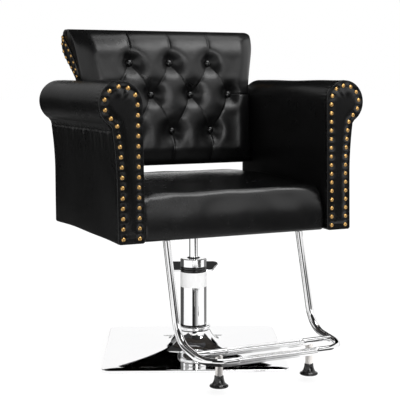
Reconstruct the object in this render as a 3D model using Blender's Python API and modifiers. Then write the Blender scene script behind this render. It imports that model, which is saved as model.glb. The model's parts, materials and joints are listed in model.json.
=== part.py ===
"""Hairdressing chair: scroll arms, tufted back, hydraulic pump and a square chrome base.

Metres, +Z up. The origin lies on the floor on the pump's axis, and the chair faces -Y.
The base is turned on that axis against the seat, as it stands when the seat is swivelled.
"""
import math

import bmesh
import bpy
from mathutils import Matrix, Vector

# Clearances
FIT = 0.0003
SOFT_FIT = 0.0004
SLIDE_FIT = 0.0005
BUTTON_FIT = 0.0007

# Square base
BASE_TURN = math.radians(-24.0)
BASE_SIDE = 0.456
BASE_CORNER = 0.022
BASE_MARGIN = 0.030
BASE_SHEET = 0.002
BASE_EDGE_ROUND = 0.0016
BASE_PLATE_THICK = 0.005
BASE_RIM_LIFT = 0.0006
BASE_SHOULDER = 0.010
BASE_FLARE = 0.11
NECK_LIP = 0.008
NECK_HEIGHT = 0.055
NECK_ROOM = 0.0015
TRIM_WIDTH = 0.0095
TRIM_HEIGHT = 0.011

# Hydraulic pump
PUMP_RADIUS = 0.034
PUMP_WALL = 0.003
TUBE_TOP = 0.2075
GLAND_HEIGHT = 0.0145
HEAD_HEIGHT = 0.021
HEAD_CHAMFER = 0.0015
SPIGOT_DEPTH = 0.034
GLAND_STEP = 0.0006
FLANGE_THICK = 0.007
FLANGE_BOLT_ROOM = 0.0045
FLANGE_EDGE = 0.012
CYLINDER_BORE = 0.015
CYLINDER_WALL = 0.0035
BUSH_RADIUS = 0.0165
WIPER_HEIGHT = 0.008
WIPER_LIP = 0.0015
ROD_RADIUS = 0.011
PISTON_HEIGHT = 0.016
SEAL_HEIGHT = 0.005
SEAL_DEPTH = 0.0025

# Foot lever, in a frame whose origin is on its pin
LEVER_PIN_OUT = 0.014
LEVER_PIN_DROP = 0.0495
LEVER_RISE = math.radians(15.0)
LEVER_THICK = 0.014
LEVER_HUB = 0.0095
LEVER_HUB_START = math.radians(75.0)
LEVER_HUB_END = math.radians(285.0)
LEVER_DEPTH = 0.0095
LEVER_END = 0.150
PIN_RADIUS = 0.004
CLEVIS_THICK = 0.005
CLEVIS_RADIUS = 0.011
CLEVIS_START = math.radians(-60.0)
CLEVIS_END = math.radians(90.0)
BRACKET_WEB = 0.0025
BRACKET_BELOW = 0.022
BRACKET_ABOVE = 0.018
TONGUE_PAST = 0.005
TONGUE_THICK = 0.003
TONGUE_WIDTH = 0.008
TONGUE_ROOM_UP = 0.009
TONGUE_ROOM_DOWN = 0.011
TONGUE_ROOM_SIDE = 0.001
PEDAL_NEAR = 0.097
PEDAL_FAR = 0.153
PEDAL_NEAR_HALF = 0.060
PEDAL_FAR_HALF = 0.072
PEDAL_CORNER = 0.014
PEDAL_THICK = 0.005
PEDAL_EDGE = 0.0012
PEDAL_DROP = 0.0025
PLUNGER_RADIUS = 0.0035
PLUNGER_HELD = 0.012
PLUNGER_ROOM = 0.0125

# Bolts
BOLT_RADIUS = 0.004
BOLT_HEAD_RADIUS = 0.0075
BOLT_HEAD_THICK = 0.0055
BOLT_TIP_LIFT = 0.002

# Seat
ROD_SHOW = 0.0547
SEAT_REAR = 0.190
SEAT_DEPTH = 0.436
SEAT_FRONT_HEIGHT = 0.105
SEAT_REAR_HEIGHT = 0.114
SEAT_CROWN = 0.010
SEAT_NOSE = 0.030
SEAT_TAIL = 0.026
SEAT_TOE = 0.006
SEAT_BULGE = 0.003
SEAT_DRAW = 0.011
SEAT_DRAW_SHARE = 0.4
BOARD_THICK = 0.015
BOARD_INSET = 0.022
BOARD_CORNER = 0.020
SEAT_PLATE_SIDE = 0.190
SEAT_PLATE_THICK = 0.006
SEAT_PLATE_CORNER = 0.018
SEAT_BOLT_HALF = 0.075
SEAT_BOLT_LENGTH = 0.018
HUB_RADIUS = 0.024
HUB_FOOT = 0.0205
HUB_HEIGHT = 0.029

# Scroll arms
ARM_INNER = 0.2434
ARM_PROUD = 0.003
ARM_PAST = 0.0085
ARM_LEAN = 0.010
ARM_FOOT_THICK = 0.0658
ARM_WAIST_THICK = 0.0740
ARM_WAIST_DROP = 0.061
ARM_KNEE_RISE = 0.130
ROLL_RADIUS = 0.053
ROLL_RISE = 0.315
ROLL_END = math.radians(-58.0)
ARM_PANEL_THICK = 0.009
ARM_PANEL_ROUND = 0.004
ARM_FRONT_ROUND = 0.0015
ARM_REAR_ROUND = 0.012

# Back
BACK_GAP = 0.017
BACK_HEIGHT = 0.359
BACK_SET_IN = 0.0665
BACK_LEAN = 0.016
BACK_CURL = 0.027
PAD_THICK = 0.046
PAD_TOP_ROUND = 0.028
PAD_TOE_ROUND = 0.008
SHELL_THICK = 0.0155
SHELL_EDGE = 0.004
SCROLL_RADIUS = 0.0455
SCROLL_END = math.radians(-42.0)
BACK_FLARE = 0.0225
FLARE_POWER = 8
PUFF = 0.019
PLEAT_WIDTH = 0.021
PIT_DEPTH = 0.006
PIT_WIDTH = 0.016
EDGE_FADE = 0.030
BUTTON_PITCH = 0.1145
BUTTON_TOP_DROP = 0.087
BUTTON_ROW_STEPS = (0.084, 0.096)
BUTTON_ROW_COUNT = (3, 4, 3)
BUTTON_RADIUS = 0.0095
BUTTON_DOME = 0.005
BUTTON_TIP = 0.002
EAR_THICKNESS = 0.005
EAR_EDGE = 0.006
EAR_TOP_DROP = 0.008
EAR_TIP_LIFT = 0.002
EAR_TIP_POWER = 0.4
EAR_TOP_POWER = 10
EAR_FULL_AT = 0.8
EAR_SLANT = 0.066
EAR_SLANT_POWER = 1.6

# Footrest
FOOT_TUBE = 0.009
LEG_X = 0.1785
LEG_SLOPE = math.radians(16.3)
RAIL_AHEAD = 0.0505
RAIL_LENGTH = 0.1435
RAIL_Z = 0.1045
RAIL_SLOPE = math.radians(7.0)
BAR_SPACING = 0.058
LEG_BEND = 0.074
CORNER_BEND = 0.050
FOOT_PLATE_HALF = 0.022
FOOT_PLATE_THICK = 0.004
FOOT_PLATE_SET_BACK = 0.017
FOOT_PLATE_CORNER = 0.006
FOOT_X = 0.118
FOOT_CLEAR = 0.016
FOOT_RADIUS = 0.0215
FOOT_NECK = 0.0105
FOOT_HEIGHT = 0.026
FOOT_RIM = 0.004
FOOT_SOCKET = 0.012
POST_RADIUS = 0.0085

# Facets
ROUND_STEPS = 32
MEDIUM_STEPS = 24
SMALL_STEPS = 16
BOLT_STEPS = 12
BUTTON_STEPS = 12
ARC_STEPS = 5
SIDE_STEPS = 3
BASE_LEVELS = 9
TUFT_STEPS = 6
SEAM_STEPS = 3
ROLL_STEPS = 14
TRIM_STEPS = 8
CLEVIS_STEPS = 7
HUB_STEPS = 10
TOE_STEPS = 2
TAIL_STEPS = 4
BELL_STEPS = 4
BEND_STEPS = 6
SEAT_RUNS = 6
SEAT_SIDE_RUNS = 4
KNEE_STEPS = 3
SCROLL_STEPS = 6
EAR_STEPS = 10

# Values that follow from the driving dimensions
NECK_RADIUS = PUMP_RADIUS + NECK_LIP
TRIM_RADIUS = PUMP_RADIUS + TRIM_WIDTH
FLANGE_TOP = BASE_PLATE_THICK + FIT + FLANGE_THICK
FLANGE_BOLT_CIRCLE = PUMP_RADIUS + BOLT_HEAD_RADIUS + FLANGE_BOLT_ROOM
FLANGE_RADIUS = FLANGE_BOLT_CIRCLE + FLANGE_EDGE
HEAD_BOTTOM = TUBE_TOP + GLAND_HEIGHT
HEAD_TOP = HEAD_BOTTOM + HEAD_HEIGHT
SPIGOT_BOTTOM = HEAD_BOTTOM - SPIGOT_DEPTH
SPIGOT_RADIUS = PUMP_RADIUS - PUMP_WALL - FIT
CYLINDER_OUTSIDE = CYLINDER_BORE + CYLINDER_WALL
PISTON_TOP = FLANGE_TOP + FIT + PISTON_HEIGHT
LEVER_PIN_Y = PUMP_RADIUS + LEVER_PIN_OUT
LEVER_PIN_Z = TUBE_TOP - LEVER_PIN_DROP
PLUNGER_Y = (CYLINDER_OUTSIDE + SPIGOT_RADIUS) / 2
PLUNGER_TOP = SPIGOT_BOTTOM + PLUNGER_HELD
TONGUE_REACH = LEVER_PIN_Y - PLUNGER_Y + TONGUE_PAST
SEAT_PLATE_BOTTOM = HEAD_TOP + ROD_SHOW + HUB_HEIGHT
SEAT_PLATE_TOP = SEAT_PLATE_BOTTOM + SEAT_PLATE_THICK
SEAT_BOTTOM = SEAT_PLATE_TOP + FIT
SEAT_FRONT_TOP = SEAT_BOTTOM + SEAT_FRONT_HEIGHT
SEAT_REAR_TOP = SEAT_BOTTOM + SEAT_REAR_HEIGHT
SEAT_HALF = ARM_INNER - SOFT_FIT
SEAT_FRONT = SEAT_REAR - SEAT_DEPTH
ARM_FRONT = SEAT_FRONT - ARM_PROUD
ARM_REAR = SEAT_REAR + ARM_PAST
ROLL_X = ARM_INNER + ROLL_RADIUS
ROLL_Z = SEAT_BOTTOM + ROLL_RISE
BACK_HALF = ARM_INNER - SOFT_FIT
BACK_FOOT_Y = ARM_REAR - BACK_SET_IN
BACK_BOTTOM = SEAT_REAR_TOP + SEAT_CROWN + BACK_GAP
BACK_TOP = BACK_BOTTOM + BACK_HEIGHT
PAD_FACE_TOP = BACK_TOP - PAD_TOP_ROUND
BUTTON_TOP_Z = BACK_TOP - BUTTON_TOP_DROP
BUTTON_MIDDLE_Z = BUTTON_TOP_Z - BUTTON_ROW_STEPS[0]
BUTTON_BOTTOM_Z = BUTTON_MIDDLE_Z - BUTTON_ROW_STEPS[1]
BUTTON_ROW_Z = (BUTTON_TOP_Z, BUTTON_MIDDLE_Z, BUTTON_BOTTOM_Z)
FLARE_START = BUTTON_MIDDLE_Z + BUTTON_ROW_STEPS[0] / 3
EAR_LOW = ROLL_Z + ROLL_RADIUS + EAR_TIP_LIFT
EAR_HIGH = BACK_TOP - EAR_TOP_DROP
RAIL_Y = SEAT_FRONT - RAIL_AHEAD
FRONT_BAR_Y = RAIL_Y - RAIL_LENGTH
CROSS_BAR_Y = FRONT_BAR_Y + BAR_SPACING
FOOT_PLATE_LOW = SEAT_BOTTOM
LEG_TOP_Y = RAIL_Y + (FOOT_PLATE_LOW - RAIL_Z) * math.tan(LEG_SLOPE)
RAIL_DIRECTION = Vector((0.0, -math.cos(RAIL_SLOPE), -math.sin(RAIL_SLOPE)))


def clear_scene():
    """Remove every object of the open scene."""
    for item in list(bpy.data.objects):
        bpy.data.objects.remove(item, do_unlink=True)


def new_collection(name):
    """A collection linked to the scene."""
    group = bpy.data.collections.new(name)
    bpy.context.scene.collection.children.link(group)
    return group


def finish(name, colour, roughness, metallic):
    """A Principled material."""
    material = bpy.data.materials.new(name)
    material.use_nodes = True
    shader = material.node_tree.nodes["Principled BSDF"]
    shader.inputs["Base Color"].default_value = (*colour, 1.0)
    shader.inputs["Roughness"].default_value = roughness
    shader.inputs["Metallic"].default_value = metallic
    return material


clear_scene()
CHAIR = new_collection("hairdressing_chair")
CUTTERS = new_collection("cutters")

CHROME = ("chrome", (0.85, 0.86, 0.87), 0.06, 1.0)
STEEL = ("dark_steel", (0.16, 0.16, 0.17), 0.45, 0.9)
BRONZE = ("bronze", (0.55, 0.36, 0.16), 0.35, 1.0)
RUBBER = ("black_rubber", (0.02, 0.02, 0.02), 0.55, 0.0)
PLASTIC = ("black_plastic", (0.012, 0.012, 0.012), 0.18, 0.0)
LEATHER = ("black_leather", (0.012, 0.012, 0.013), 0.33, 0.0)
WOOD = ("plywood", (0.52, 0.36, 0.20), 0.7, 0.0)


def frame(name, location=(0.0, 0.0, 0.0), rotation=(0.0, 0.0, 0.0), parent=None):
    """An empty on a joint's axis, which carries the pieces of one body."""
    empty = bpy.data.objects.new(name, None)
    empty.location = location
    empty.rotation_euler = rotation
    empty.parent = parent
    CHAIR.objects.link(empty)
    return empty


def part(name, mesh, look, parent):
    """A sub-part with a material of its own."""
    mesh.name = name
    item = bpy.data.objects.new(name, mesh)
    item.parent = parent
    mesh.materials.clear()
    mesh.materials.append(finish(f"{name}_{look[0]}", *look[1:]))
    CHAIR.objects.link(item)
    return item


def cutter(name, mesh, parent):
    """A wire-frame body that only cuts."""
    item = bpy.data.objects.new(name, mesh)
    item.parent = parent
    item.display_type = "WIRE"
    item.hide_render = True
    CUTTERS.objects.link(item)
    return item


def combine(item, other, operation="DIFFERENCE"):
    """Cut a piece with another body, or join that body to it."""
    step = item.modifiers.new(other.name, "BOOLEAN")
    step.operation = operation
    step.solver = "EXACT"
    step.object = other


def smooth(mesh, angle=40.0):
    """Smooth shading with sharp edges kept."""
    mesh.shade_smooth()
    mesh.set_sharp_from_angle(angle=math.radians(angle))


def box_mesh(low, high):
    """A box between two corners."""
    low, high = Vector(low), Vector(high)
    shape = bmesh.new()
    place = Matrix.Translation((low + high) / 2) @ Matrix.Diagonal((*(high - low), 1.0))
    bmesh.ops.create_cube(shape, size=1.0, matrix=place)
    return to_mesh(shape)


def rod_mesh(start, end, radius, steps):
    """A round bar between two points."""
    start, end = Vector(start), Vector(end)
    turn = (end - start).to_track_quat("Z", "Y").to_matrix().to_4x4()
    place = Matrix.Translation((start + end) / 2) @ turn
    shape = bmesh.new()
    bmesh.ops.create_cone(shape, cap_ends=True, segments=steps, radius1=radius, radius2=radius,
                          depth=(end - start).length, matrix=place)
    return to_mesh(shape)


def to_mesh(shape):
    """Hand a bmesh over as mesh data, with its faces turned outwards."""
    bmesh.ops.recalc_face_normals(shape, faces=shape.faces)
    mesh = bpy.data.meshes.new("shape")
    shape.to_mesh(mesh)
    shape.free()
    smooth(mesh)
    return mesh


def evaluated_mesh(item):
    """The mesh of a curve or of an object with modifiers, welded, with the object removed."""
    depsgraph = bpy.context.evaluated_depsgraph_get()
    mesh = bpy.data.meshes.new_from_object(item.evaluated_get(depsgraph))
    bpy.data.objects.remove(item, do_unlink=True)
    shape = bmesh.new()
    shape.from_mesh(mesh)
    bmesh.ops.remove_doubles(shape, verts=shape.verts, dist=1e-6)
    return to_mesh(shape)


def turned_mesh(profile, steps=ROUND_STEPS, ring=False):
    """A profile of (radius, height) points spun round Z. It runs down its outer side.

    A ring's profile is closed; another profile starts and ends on the axis.
    """
    mesh = bpy.data.meshes.new("profile")
    count = len(profile)
    edges = [(i, (i + 1) % count) for i in range(count if ring else count - 1)]
    mesh.from_pydata([(radius, 0.0, height) for radius, height in profile], edges, [])
    item = bpy.data.objects.new("profile", mesh)
    CUTTERS.objects.link(item)
    spin = item.modifiers.new("spin", "SCREW")
    spin.axis = "Z"
    spin.steps = steps
    spin.render_steps = steps
    spin.use_merge_vertices = True
    spin.merge_threshold = 0.00001
    return evaluated_mesh(item)


def slab_mesh(outlines, low, high):
    """A flat outline with any holes inside it, made solid between two heights."""
    curve = bpy.data.curves.new("outline", "CURVE")
    curve.dimensions = "2D"
    curve.fill_mode = "BOTH"
    curve.extrude = (high - low) / 2
    for outline in outlines:
        spline = curve.splines.new("POLY")
        spline.points.add(len(outline) - 1)
        for point, (x, y) in zip(spline.points, outline):
            point.co = (x, y, 0.0, 1.0)
        spline.use_cyclic_u = True
    item = bpy.data.objects.new("outline", curve)
    CUTTERS.objects.link(item)
    mesh = evaluated_mesh(item)
    mesh.transform(Matrix.Translation((0.0, 0.0, (low + high) / 2)))
    return mesh


def tube_mesh(points, radius, resolution=4):
    """A round tube with closed ends along a line of points."""
    curve = bpy.data.curves.new("route", "CURVE")
    curve.dimensions = "3D"
    curve.bevel_depth = radius
    curve.bevel_resolution = resolution
    curve.use_fill_caps = True
    spline = curve.splines.new("POLY")
    spline.points.add(len(points) - 1)
    for point, place in zip(spline.points, points):
        point.co = (*place, 1.0)
    item = bpy.data.objects.new("route", curve)
    CUTTERS.objects.link(item)
    return evaluated_mesh(item)


def loft_mesh(rings, capped=True, cap_cut=None):
    """A skin through closed rings of equally many points. A cap can be split along one of its chords."""
    shape = bmesh.new()
    rows = [[shape.verts.new(point) for point in ring] for ring in rings]
    count = len(rings[0])
    for lower, upper in zip(rows, rows[1:]):
        for i in range(count):
            j = (i + 1) % count
            shape.faces.new((lower[i], lower[j], upper[j], upper[i]))
    for row in (rows[0], rows[-1]) if capped else ():
        if cap_cut is None:
            shape.faces.new(row)
        else:
            first, last = cap_cut
            shape.faces.new(row[first:last + 1])
            shape.faces.new(row[last:] + row[:first + 1])
    if capped:
        return to_mesh(shape)
    mesh = bpy.data.meshes.new("skin")
    shape.to_mesh(mesh)
    shape.free()
    smooth(mesh)
    return mesh


def arc(centre, radius, start, end, steps):
    """Points on a circular arc in a plane."""
    angles = [start + (end - start) * i / steps for i in range(steps + 1)]
    return [(centre[0] + radius * math.cos(a), centre[1] + radius * math.sin(a)) for a in angles]


def circle(centre, radius, steps=SMALL_STEPS):
    """A round outline."""
    return arc(centre, radius, 0.0, 2 * math.pi, steps)[:-1]


def rounded_rectangle(half_x, half_y, corner, centre=(0.0, 0.0), steps=ARC_STEPS):
    """A rectangle with round corners, anticlockwise."""
    outline = []
    for quarter, (sx, sy) in enumerate(((1, 1), (-1, 1), (-1, -1), (1, -1))):
        middle = (centre[0] + sx * (half_x - corner), centre[1] + sy * (half_y - corner))
        start = quarter * math.pi / 2
        outline += arc(middle, corner, start, start + math.pi / 2, steps)
    return outline


def rounded_path(corners, bends, steps=BEND_STEPS):
    """A line of points along straight runs, with each inner corner rounded by its bend radius."""
    corners = [Vector(corner) for corner in corners]
    points = [corners[0]]
    for before, corner, after, bend in zip(corners, corners[1:], corners[2:], bends):
        inward = (corner - before).normalized()
        outward = (after - corner).normalized()
        turn = inward.angle(outward)
        start = corner - inward * bend * math.tan(turn / 2)
        axis = inward.cross(outward).normalized()
        to_start = -axis.cross(inward) * bend
        centre = start - to_start
        for i in range(steps + 1):
            points.append(centre + Matrix.Rotation(turn * i / steps, 3, axis) @ to_start)
    points.append(corners[-1])
    return points


def smoothstep(low, high, value):
    """A soft step from 0 to 1."""
    t = min(max((value - low) / (high - low), 0.0), 1.0)
    return t * t * (3 - 2 * t)


# Base and pump


def square_reach(angle, half, corner):
    """Distance from the middle of a rounded square to its outline, along an angle."""
    fold = abs((angle + math.pi / 4) % (math.pi / 2) - math.pi / 4)
    if half * math.tan(fold) <= half - corner:
        return half / math.cos(fold)
    middle = half - corner
    along = middle * (math.cos(fold) + math.sin(fold))
    return along + math.sqrt(along * along - 2 * middle * middle + corner * corner)


def base_angles():
    """Angles at which the base's skin has its lines: along each half side and round each corner."""
    middle = BASE_SIDE / 2 - BASE_CORNER
    side = [math.atan(i / (SIDE_STEPS + 0.5)) for i in range(SIDE_STEPS)]
    corner = arc((middle, middle), BASE_CORNER, 0.0, math.pi / 2, SIDE_STEPS + 1)
    quarter = side + [math.atan2(y, x) for x, y in corner]
    quarter += [math.pi / 2 - angle for angle in reversed(side[1:])]
    return [angle + turn * math.pi / 2 for turn in range(4) for angle in quarter]


def base_shell(parent):
    """The chrome cover: a rounded square rim that rises, first gently and then steeply, to a round neck."""
    half = BASE_SIDE / 2
    top = BASE_PLATE_THICK + FIT + BASE_SHEET
    soft = BASE_EDGE_ROUND
    angles = base_angles()

    def ring(shape, height):
        return [(shape(a) * math.cos(a), shape(a) * math.sin(a), height) for a in angles]

    rings = [ring(lambda a: square_reach(a, half, BASE_CORNER), BASE_RIM_LIFT)]
    rings.append(ring(lambda a: square_reach(a, half, BASE_CORNER), top - soft))
    rings.append(ring(lambda a: square_reach(a, half - soft, BASE_CORNER - soft / 2), top))
    inner = half - BASE_MARGIN
    steep = NECK_HEIGHT - top - BASE_SHOULDER
    for i in range(BASE_LEVELS + 1):
        t = 1 - (1 - i / BASE_LEVELS) ** 2
        height = top + BASE_SHOULDER * t + steep * math.exp((t - 1) / BASE_FLARE)
        rings.append(ring(lambda a: NECK_RADIUS * t + square_reach(a, inner, BASE_CORNER) * (1 - t), height))
    rings.append(ring(lambda a: PUMP_RADIUS + NECK_ROOM, NECK_HEIGHT + BASE_SHEET / 2))
    item = part("base_shell", loft_mesh(rings, capped=False), CHROME, parent)
    wall = item.modifiers.new("wall", "SOLIDIFY")
    wall.thickness = BASE_SHEET
    wall.offset = -1.0


def bolt_places(circle_radius):
    """Four places on a bolt circle, on the diagonals."""
    return [(circle_radius * math.cos(math.pi / 4 + i * math.pi / 2),
             circle_radius * math.sin(math.pi / 4 + i * math.pi / 2)) for i in range(4)]


def bolt_mesh(shank_end, seat, head_end):
    """A hexagon bolt along Z: its shank ends at shank_end, and its head lies between seat and head_end."""
    head = bpy.data.objects.new("head", rod_mesh((0, 0, seat), (0, 0, head_end), BOLT_HEAD_RADIUS, 6))
    sink = math.copysign(BOLT_HEAD_THICK / 2, head_end - seat)
    shank = rod_mesh((0, 0, shank_end), (0, 0, seat + sink), BOLT_RADIUS, BOLT_STEPS)
    shank = bpy.data.objects.new("shank", shank)
    for item in (head, shank):
        CUTTERS.objects.link(item)
    combine(head, shank, "UNION")
    mesh = evaluated_mesh(head)
    bpy.data.objects.remove(shank, do_unlink=True)
    return mesh


def base_and_pump(parent):
    """The floor plate, the cover and the standing half of the pump."""
    holes = [circle(place, BOLT_RADIUS + FIT, BOLT_STEPS) for place in bolt_places(FLANGE_BOLT_CIRCLE)]
    plate_half = BASE_SIDE / 2 - BASE_SHEET - SLIDE_FIT
    plate = rounded_rectangle(plate_half, plate_half, BASE_CORNER - BASE_SHEET, steps=SIDE_STEPS + 1)
    part("base_plate", slab_mesh([plate, *holes], 0.0, BASE_PLATE_THICK), STEEL, parent)
    base_shell(parent)
    flange = circle((0.0, 0.0), FLANGE_RADIUS, ROUND_STEPS)
    part("pump_flange", slab_mesh([flange, *holes], BASE_PLATE_THICK + FIT, FLANGE_TOP), STEEL, parent)
    head_seat = FLANGE_TOP + FIT
    bolt = bolt_mesh(BOLT_TIP_LIFT, head_seat, head_seat + BOLT_HEAD_THICK)
    for i, (x, y) in enumerate(bolt_places(FLANGE_BOLT_CIRCLE), 1):
        part(f"flange_bolt_{i}", bolt.copy(), STEEL, parent).location = (x, y, 0.0)

    trim_low = NECK_HEIGHT + BASE_SHEET / 2 + FIT
    trim_inner = PUMP_RADIUS + FIT
    belly = (TRIM_RADIUS - trim_inner) / 2
    swell = [(trim_inner + belly + x * belly, trim_low + TRIM_HEIGHT / 2 + y * TRIM_HEIGHT / 2)
             for x, y in arc((0.0, 0.0), 1.0, math.pi / 2, -math.pi / 2, TRIM_STEPS)]
    trim = [*swell, (trim_inner, trim_low), (trim_inner, trim_low + TRIM_HEIGHT)]
    part("trim_ring", turned_mesh(trim, ring=True), CHROME, parent)

    bottom = FLANGE_TOP + FIT
    inner = PUMP_RADIUS - PUMP_WALL
    tube = [(PUMP_RADIUS, TUBE_TOP), (PUMP_RADIUS, bottom), (inner, bottom), (inner, TUBE_TOP)]
    tube_item = part("pump_tube", turned_mesh(tube, ring=True), CHROME, parent)
    combine(tube_item, tongue_slot("tube_slot", parent))

    outer, top = CYLINDER_OUTSIDE, SPIGOT_BOTTOM - FIT
    cylinder = [(outer, top), (outer, bottom), (CYLINDER_BORE, bottom), (CYLINDER_BORE, top)]
    part("pump_inner_cylinder", turned_mesh(cylinder, MEDIUM_STEPS, ring=True), STEEL, parent)

    gland = PUMP_RADIUS - GLAND_STEP
    bore = SPIGOT_RADIUS + FIT
    low, high = TUBE_TOP + FIT, HEAD_BOTTOM - FIT
    part("pump_gland", turned_mesh([(gland, high), (gland, low), (bore, low), (bore, high)], ring=True),
         PLASTIC, parent)

    bush_bore = BUSH_RADIUS + FIT
    head = [(PUMP_RADIUS - HEAD_CHAMFER, HEAD_TOP), (PUMP_RADIUS, HEAD_TOP - HEAD_CHAMFER),
            (PUMP_RADIUS, HEAD_BOTTOM), (SPIGOT_RADIUS, HEAD_BOTTOM), (SPIGOT_RADIUS, SPIGOT_BOTTOM),
            (bush_bore, SPIGOT_BOTTOM), (bush_bore, HEAD_TOP)]
    head_item = part("pump_head", turned_mesh(head, ring=True), CHROME, parent)
    mouth = (0.0, PLUNGER_Y, SPIGOT_BOTTOM - PLUNGER_RADIUS)
    end = (0.0, PLUNGER_Y, PLUNGER_TOP + PLUNGER_ROOM)
    chamber = rod_mesh(mouth, end, PLUNGER_RADIUS + SLIDE_FIT, SMALL_STEPS)
    combine(head_item, cutter("plunger_chamber", chamber, parent))

    rod_bore = ROD_RADIUS + FIT
    wiper_low = HEAD_TOP - WIPER_HEIGHT
    bush = [(BUSH_RADIUS, wiper_low - FIT), (BUSH_RADIUS, SPIGOT_BOTTOM), (rod_bore, SPIGOT_BOTTOM),
            (rod_bore, wiper_low - FIT)]
    part("guide_bush", turned_mesh(bush, MEDIUM_STEPS, ring=True), BRONZE, parent)
    lip = HEAD_TOP + WIPER_LIP
    wiper = [(BUSH_RADIUS - WIPER_LIP, lip), (BUSH_RADIUS, HEAD_TOP), (BUSH_RADIUS, wiper_low),
             (rod_bore, wiper_low), (rod_bore, lip)]
    part("rod_wiper", turned_mesh(wiper, MEDIUM_STEPS, ring=True), RUBBER, parent)


# Foot lever and plunger


def tongue_slot(name, parent):
    """The opening that the lever's tongue reaches through."""
    half = TONGUE_WIDTH / 2 + TONGUE_ROOM_SIDE
    low = (-half, PLUNGER_Y, LEVER_PIN_Z - TONGUE_ROOM_DOWN)
    high = (half, LEVER_PIN_Y, LEVER_PIN_Z + TONGUE_ROOM_UP)
    return cutter(name, box_mesh(low, high), parent)


def side_mesh(outline, low, high):
    """A flat outline in the plane of Y and Z, made solid between two places on X."""
    mesh = slab_mesh([outline], low, high)
    mesh.transform(Matrix(((0, 0, 1, 0), (1, 0, 0, 0), (0, 1, 0, 0), (0, 0, 0, 1))))
    return mesh


def lever_bracket(parent):
    """The clevis on the back of the pump, with its pin."""
    pin = (LEVER_PIN_Y, LEVER_PIN_Z)
    root = PUMP_RADIUS - CLEVIS_THICK
    gap = LEVER_THICK / 2 + SLIDE_FIT
    half = gap + CLEVIS_THICK
    outline = [(root, pin[1] - BRACKET_BELOW), (PUMP_RADIUS + FIT, pin[1] - BRACKET_BELOW)]
    outline += arc(pin, CLEVIS_RADIUS, CLEVIS_START, CLEVIS_END, CLEVIS_STEPS)
    outline += [(PUMP_RADIUS + FIT, pin[1] + BRACKET_ABOVE), (root, pin[1] + BRACKET_ABOVE)]
    item = part("lever_bracket", side_mesh(outline, -half, half), CHROME, parent)
    tall = BRACKET_BELOW + BRACKET_ABOVE
    fork_root = PUMP_RADIUS + FIT + BRACKET_WEB
    fork = box_mesh((-gap, fork_root, pin[1] - tall), (gap, pin[0] + tall, pin[1] + tall))
    combine(item, cutter("bracket_fork", fork, parent))
    wall = rod_mesh((0.0, 0.0, pin[1] - tall), (0.0, 0.0, pin[1] + tall), PUMP_RADIUS + FIT, ROUND_STEPS * 2)
    combine(item, cutter("bracket_wall", wall, parent))
    combine(item, tongue_slot("bracket_slot", parent))
    reach = half + CLEVIS_THICK
    hole = rod_mesh((-reach, *pin), (reach, *pin), PIN_RADIUS + FIT, SMALL_STEPS)
    combine(item, cutter("bracket_hole", hole, parent))
    pin_end = half + FIT + PIN_RADIUS / 2
    part("lever_pin", rod_mesh((-pin_end, *pin), (pin_end, *pin), PIN_RADIUS, SMALL_STEPS), STEEL, parent)


def foot_lever(parent):
    """The lever, modelled level in its own frame with the pin on X, and the pedal on its outer end."""
    top = -PEDAL_DROP - FIT
    low = top - LEVER_DEPTH
    outline = arc((0.0, 0.0), LEVER_HUB, LEVER_HUB_START, LEVER_HUB_END, HUB_STEPS)
    outline += [(PEDAL_NEAR, low), (LEVER_END - LEVER_DEPTH / 2, low), (LEVER_END, low + LEVER_DEPTH / 2),
                (LEVER_END, top), (PEDAL_NEAR - PEDAL_CORNER, top)]
    item = part("lever_arm", side_mesh(outline, -LEVER_THICK / 2, LEVER_THICK / 2), CHROME, parent)
    half = TONGUE_WIDTH / 2
    tongue = box_mesh((-half, -TONGUE_REACH, -TONGUE_THICK / 2), (half, 0.0, TONGUE_THICK / 2))
    combine(item, cutter("lever_tongue", tongue, parent), "UNION")
    hole = rod_mesh((-LEVER_THICK, 0.0, 0.0), (LEVER_THICK, 0.0, 0.0), PIN_RADIUS + FIT, SMALL_STEPS)
    combine(item, cutter("lever_hole", hole, parent))

    near, far = PEDAL_NEAR, PEDAL_FAR
    corner = PEDAL_CORNER
    outline = arc((PEDAL_NEAR_HALF - corner, near + corner), corner, -math.pi / 2, 0.0, ARC_STEPS)
    outline += arc((PEDAL_FAR_HALF - corner, far - corner), corner, 0.0, math.pi / 2, ARC_STEPS)
    outline += [(-x, y) for x, y in reversed(outline)]
    plate = slab_mesh([outline], -PEDAL_DROP, PEDAL_THICK - PEDAL_DROP)
    item = part("pedal_plate", plate, CHROME, parent)
    edge = item.modifiers.new("edge", "BEVEL")
    edge.width = PEDAL_EDGE
    edge.segments = 1
    edge.limit_method = "ANGLE"
    edge.angle_limit = math.radians(60.0)


def plunger(parent):
    """The plunger that the tongue lifts, in a frame at its foot. It slides along Z."""
    length = PLUNGER_TOP - plunger_foot()
    mesh = rod_mesh((0.0, 0.0, 0.0), (0.0, 0.0, length), PLUNGER_RADIUS, SMALL_STEPS)
    part("pump_plunger", mesh, STEEL, parent)


def plunger_foot():
    """Height of the plunger's lower end, just clear of the tongue at rest."""
    arm = LEVER_PIN_Y - PLUNGER_Y
    slope = math.tan(LEVER_RISE)
    tongue_top = LEVER_PIN_Z - (arm - PLUNGER_RADIUS) * slope + TONGUE_THICK / 2 / math.cos(LEVER_RISE)
    return tongue_top + FIT


# Lift


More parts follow.
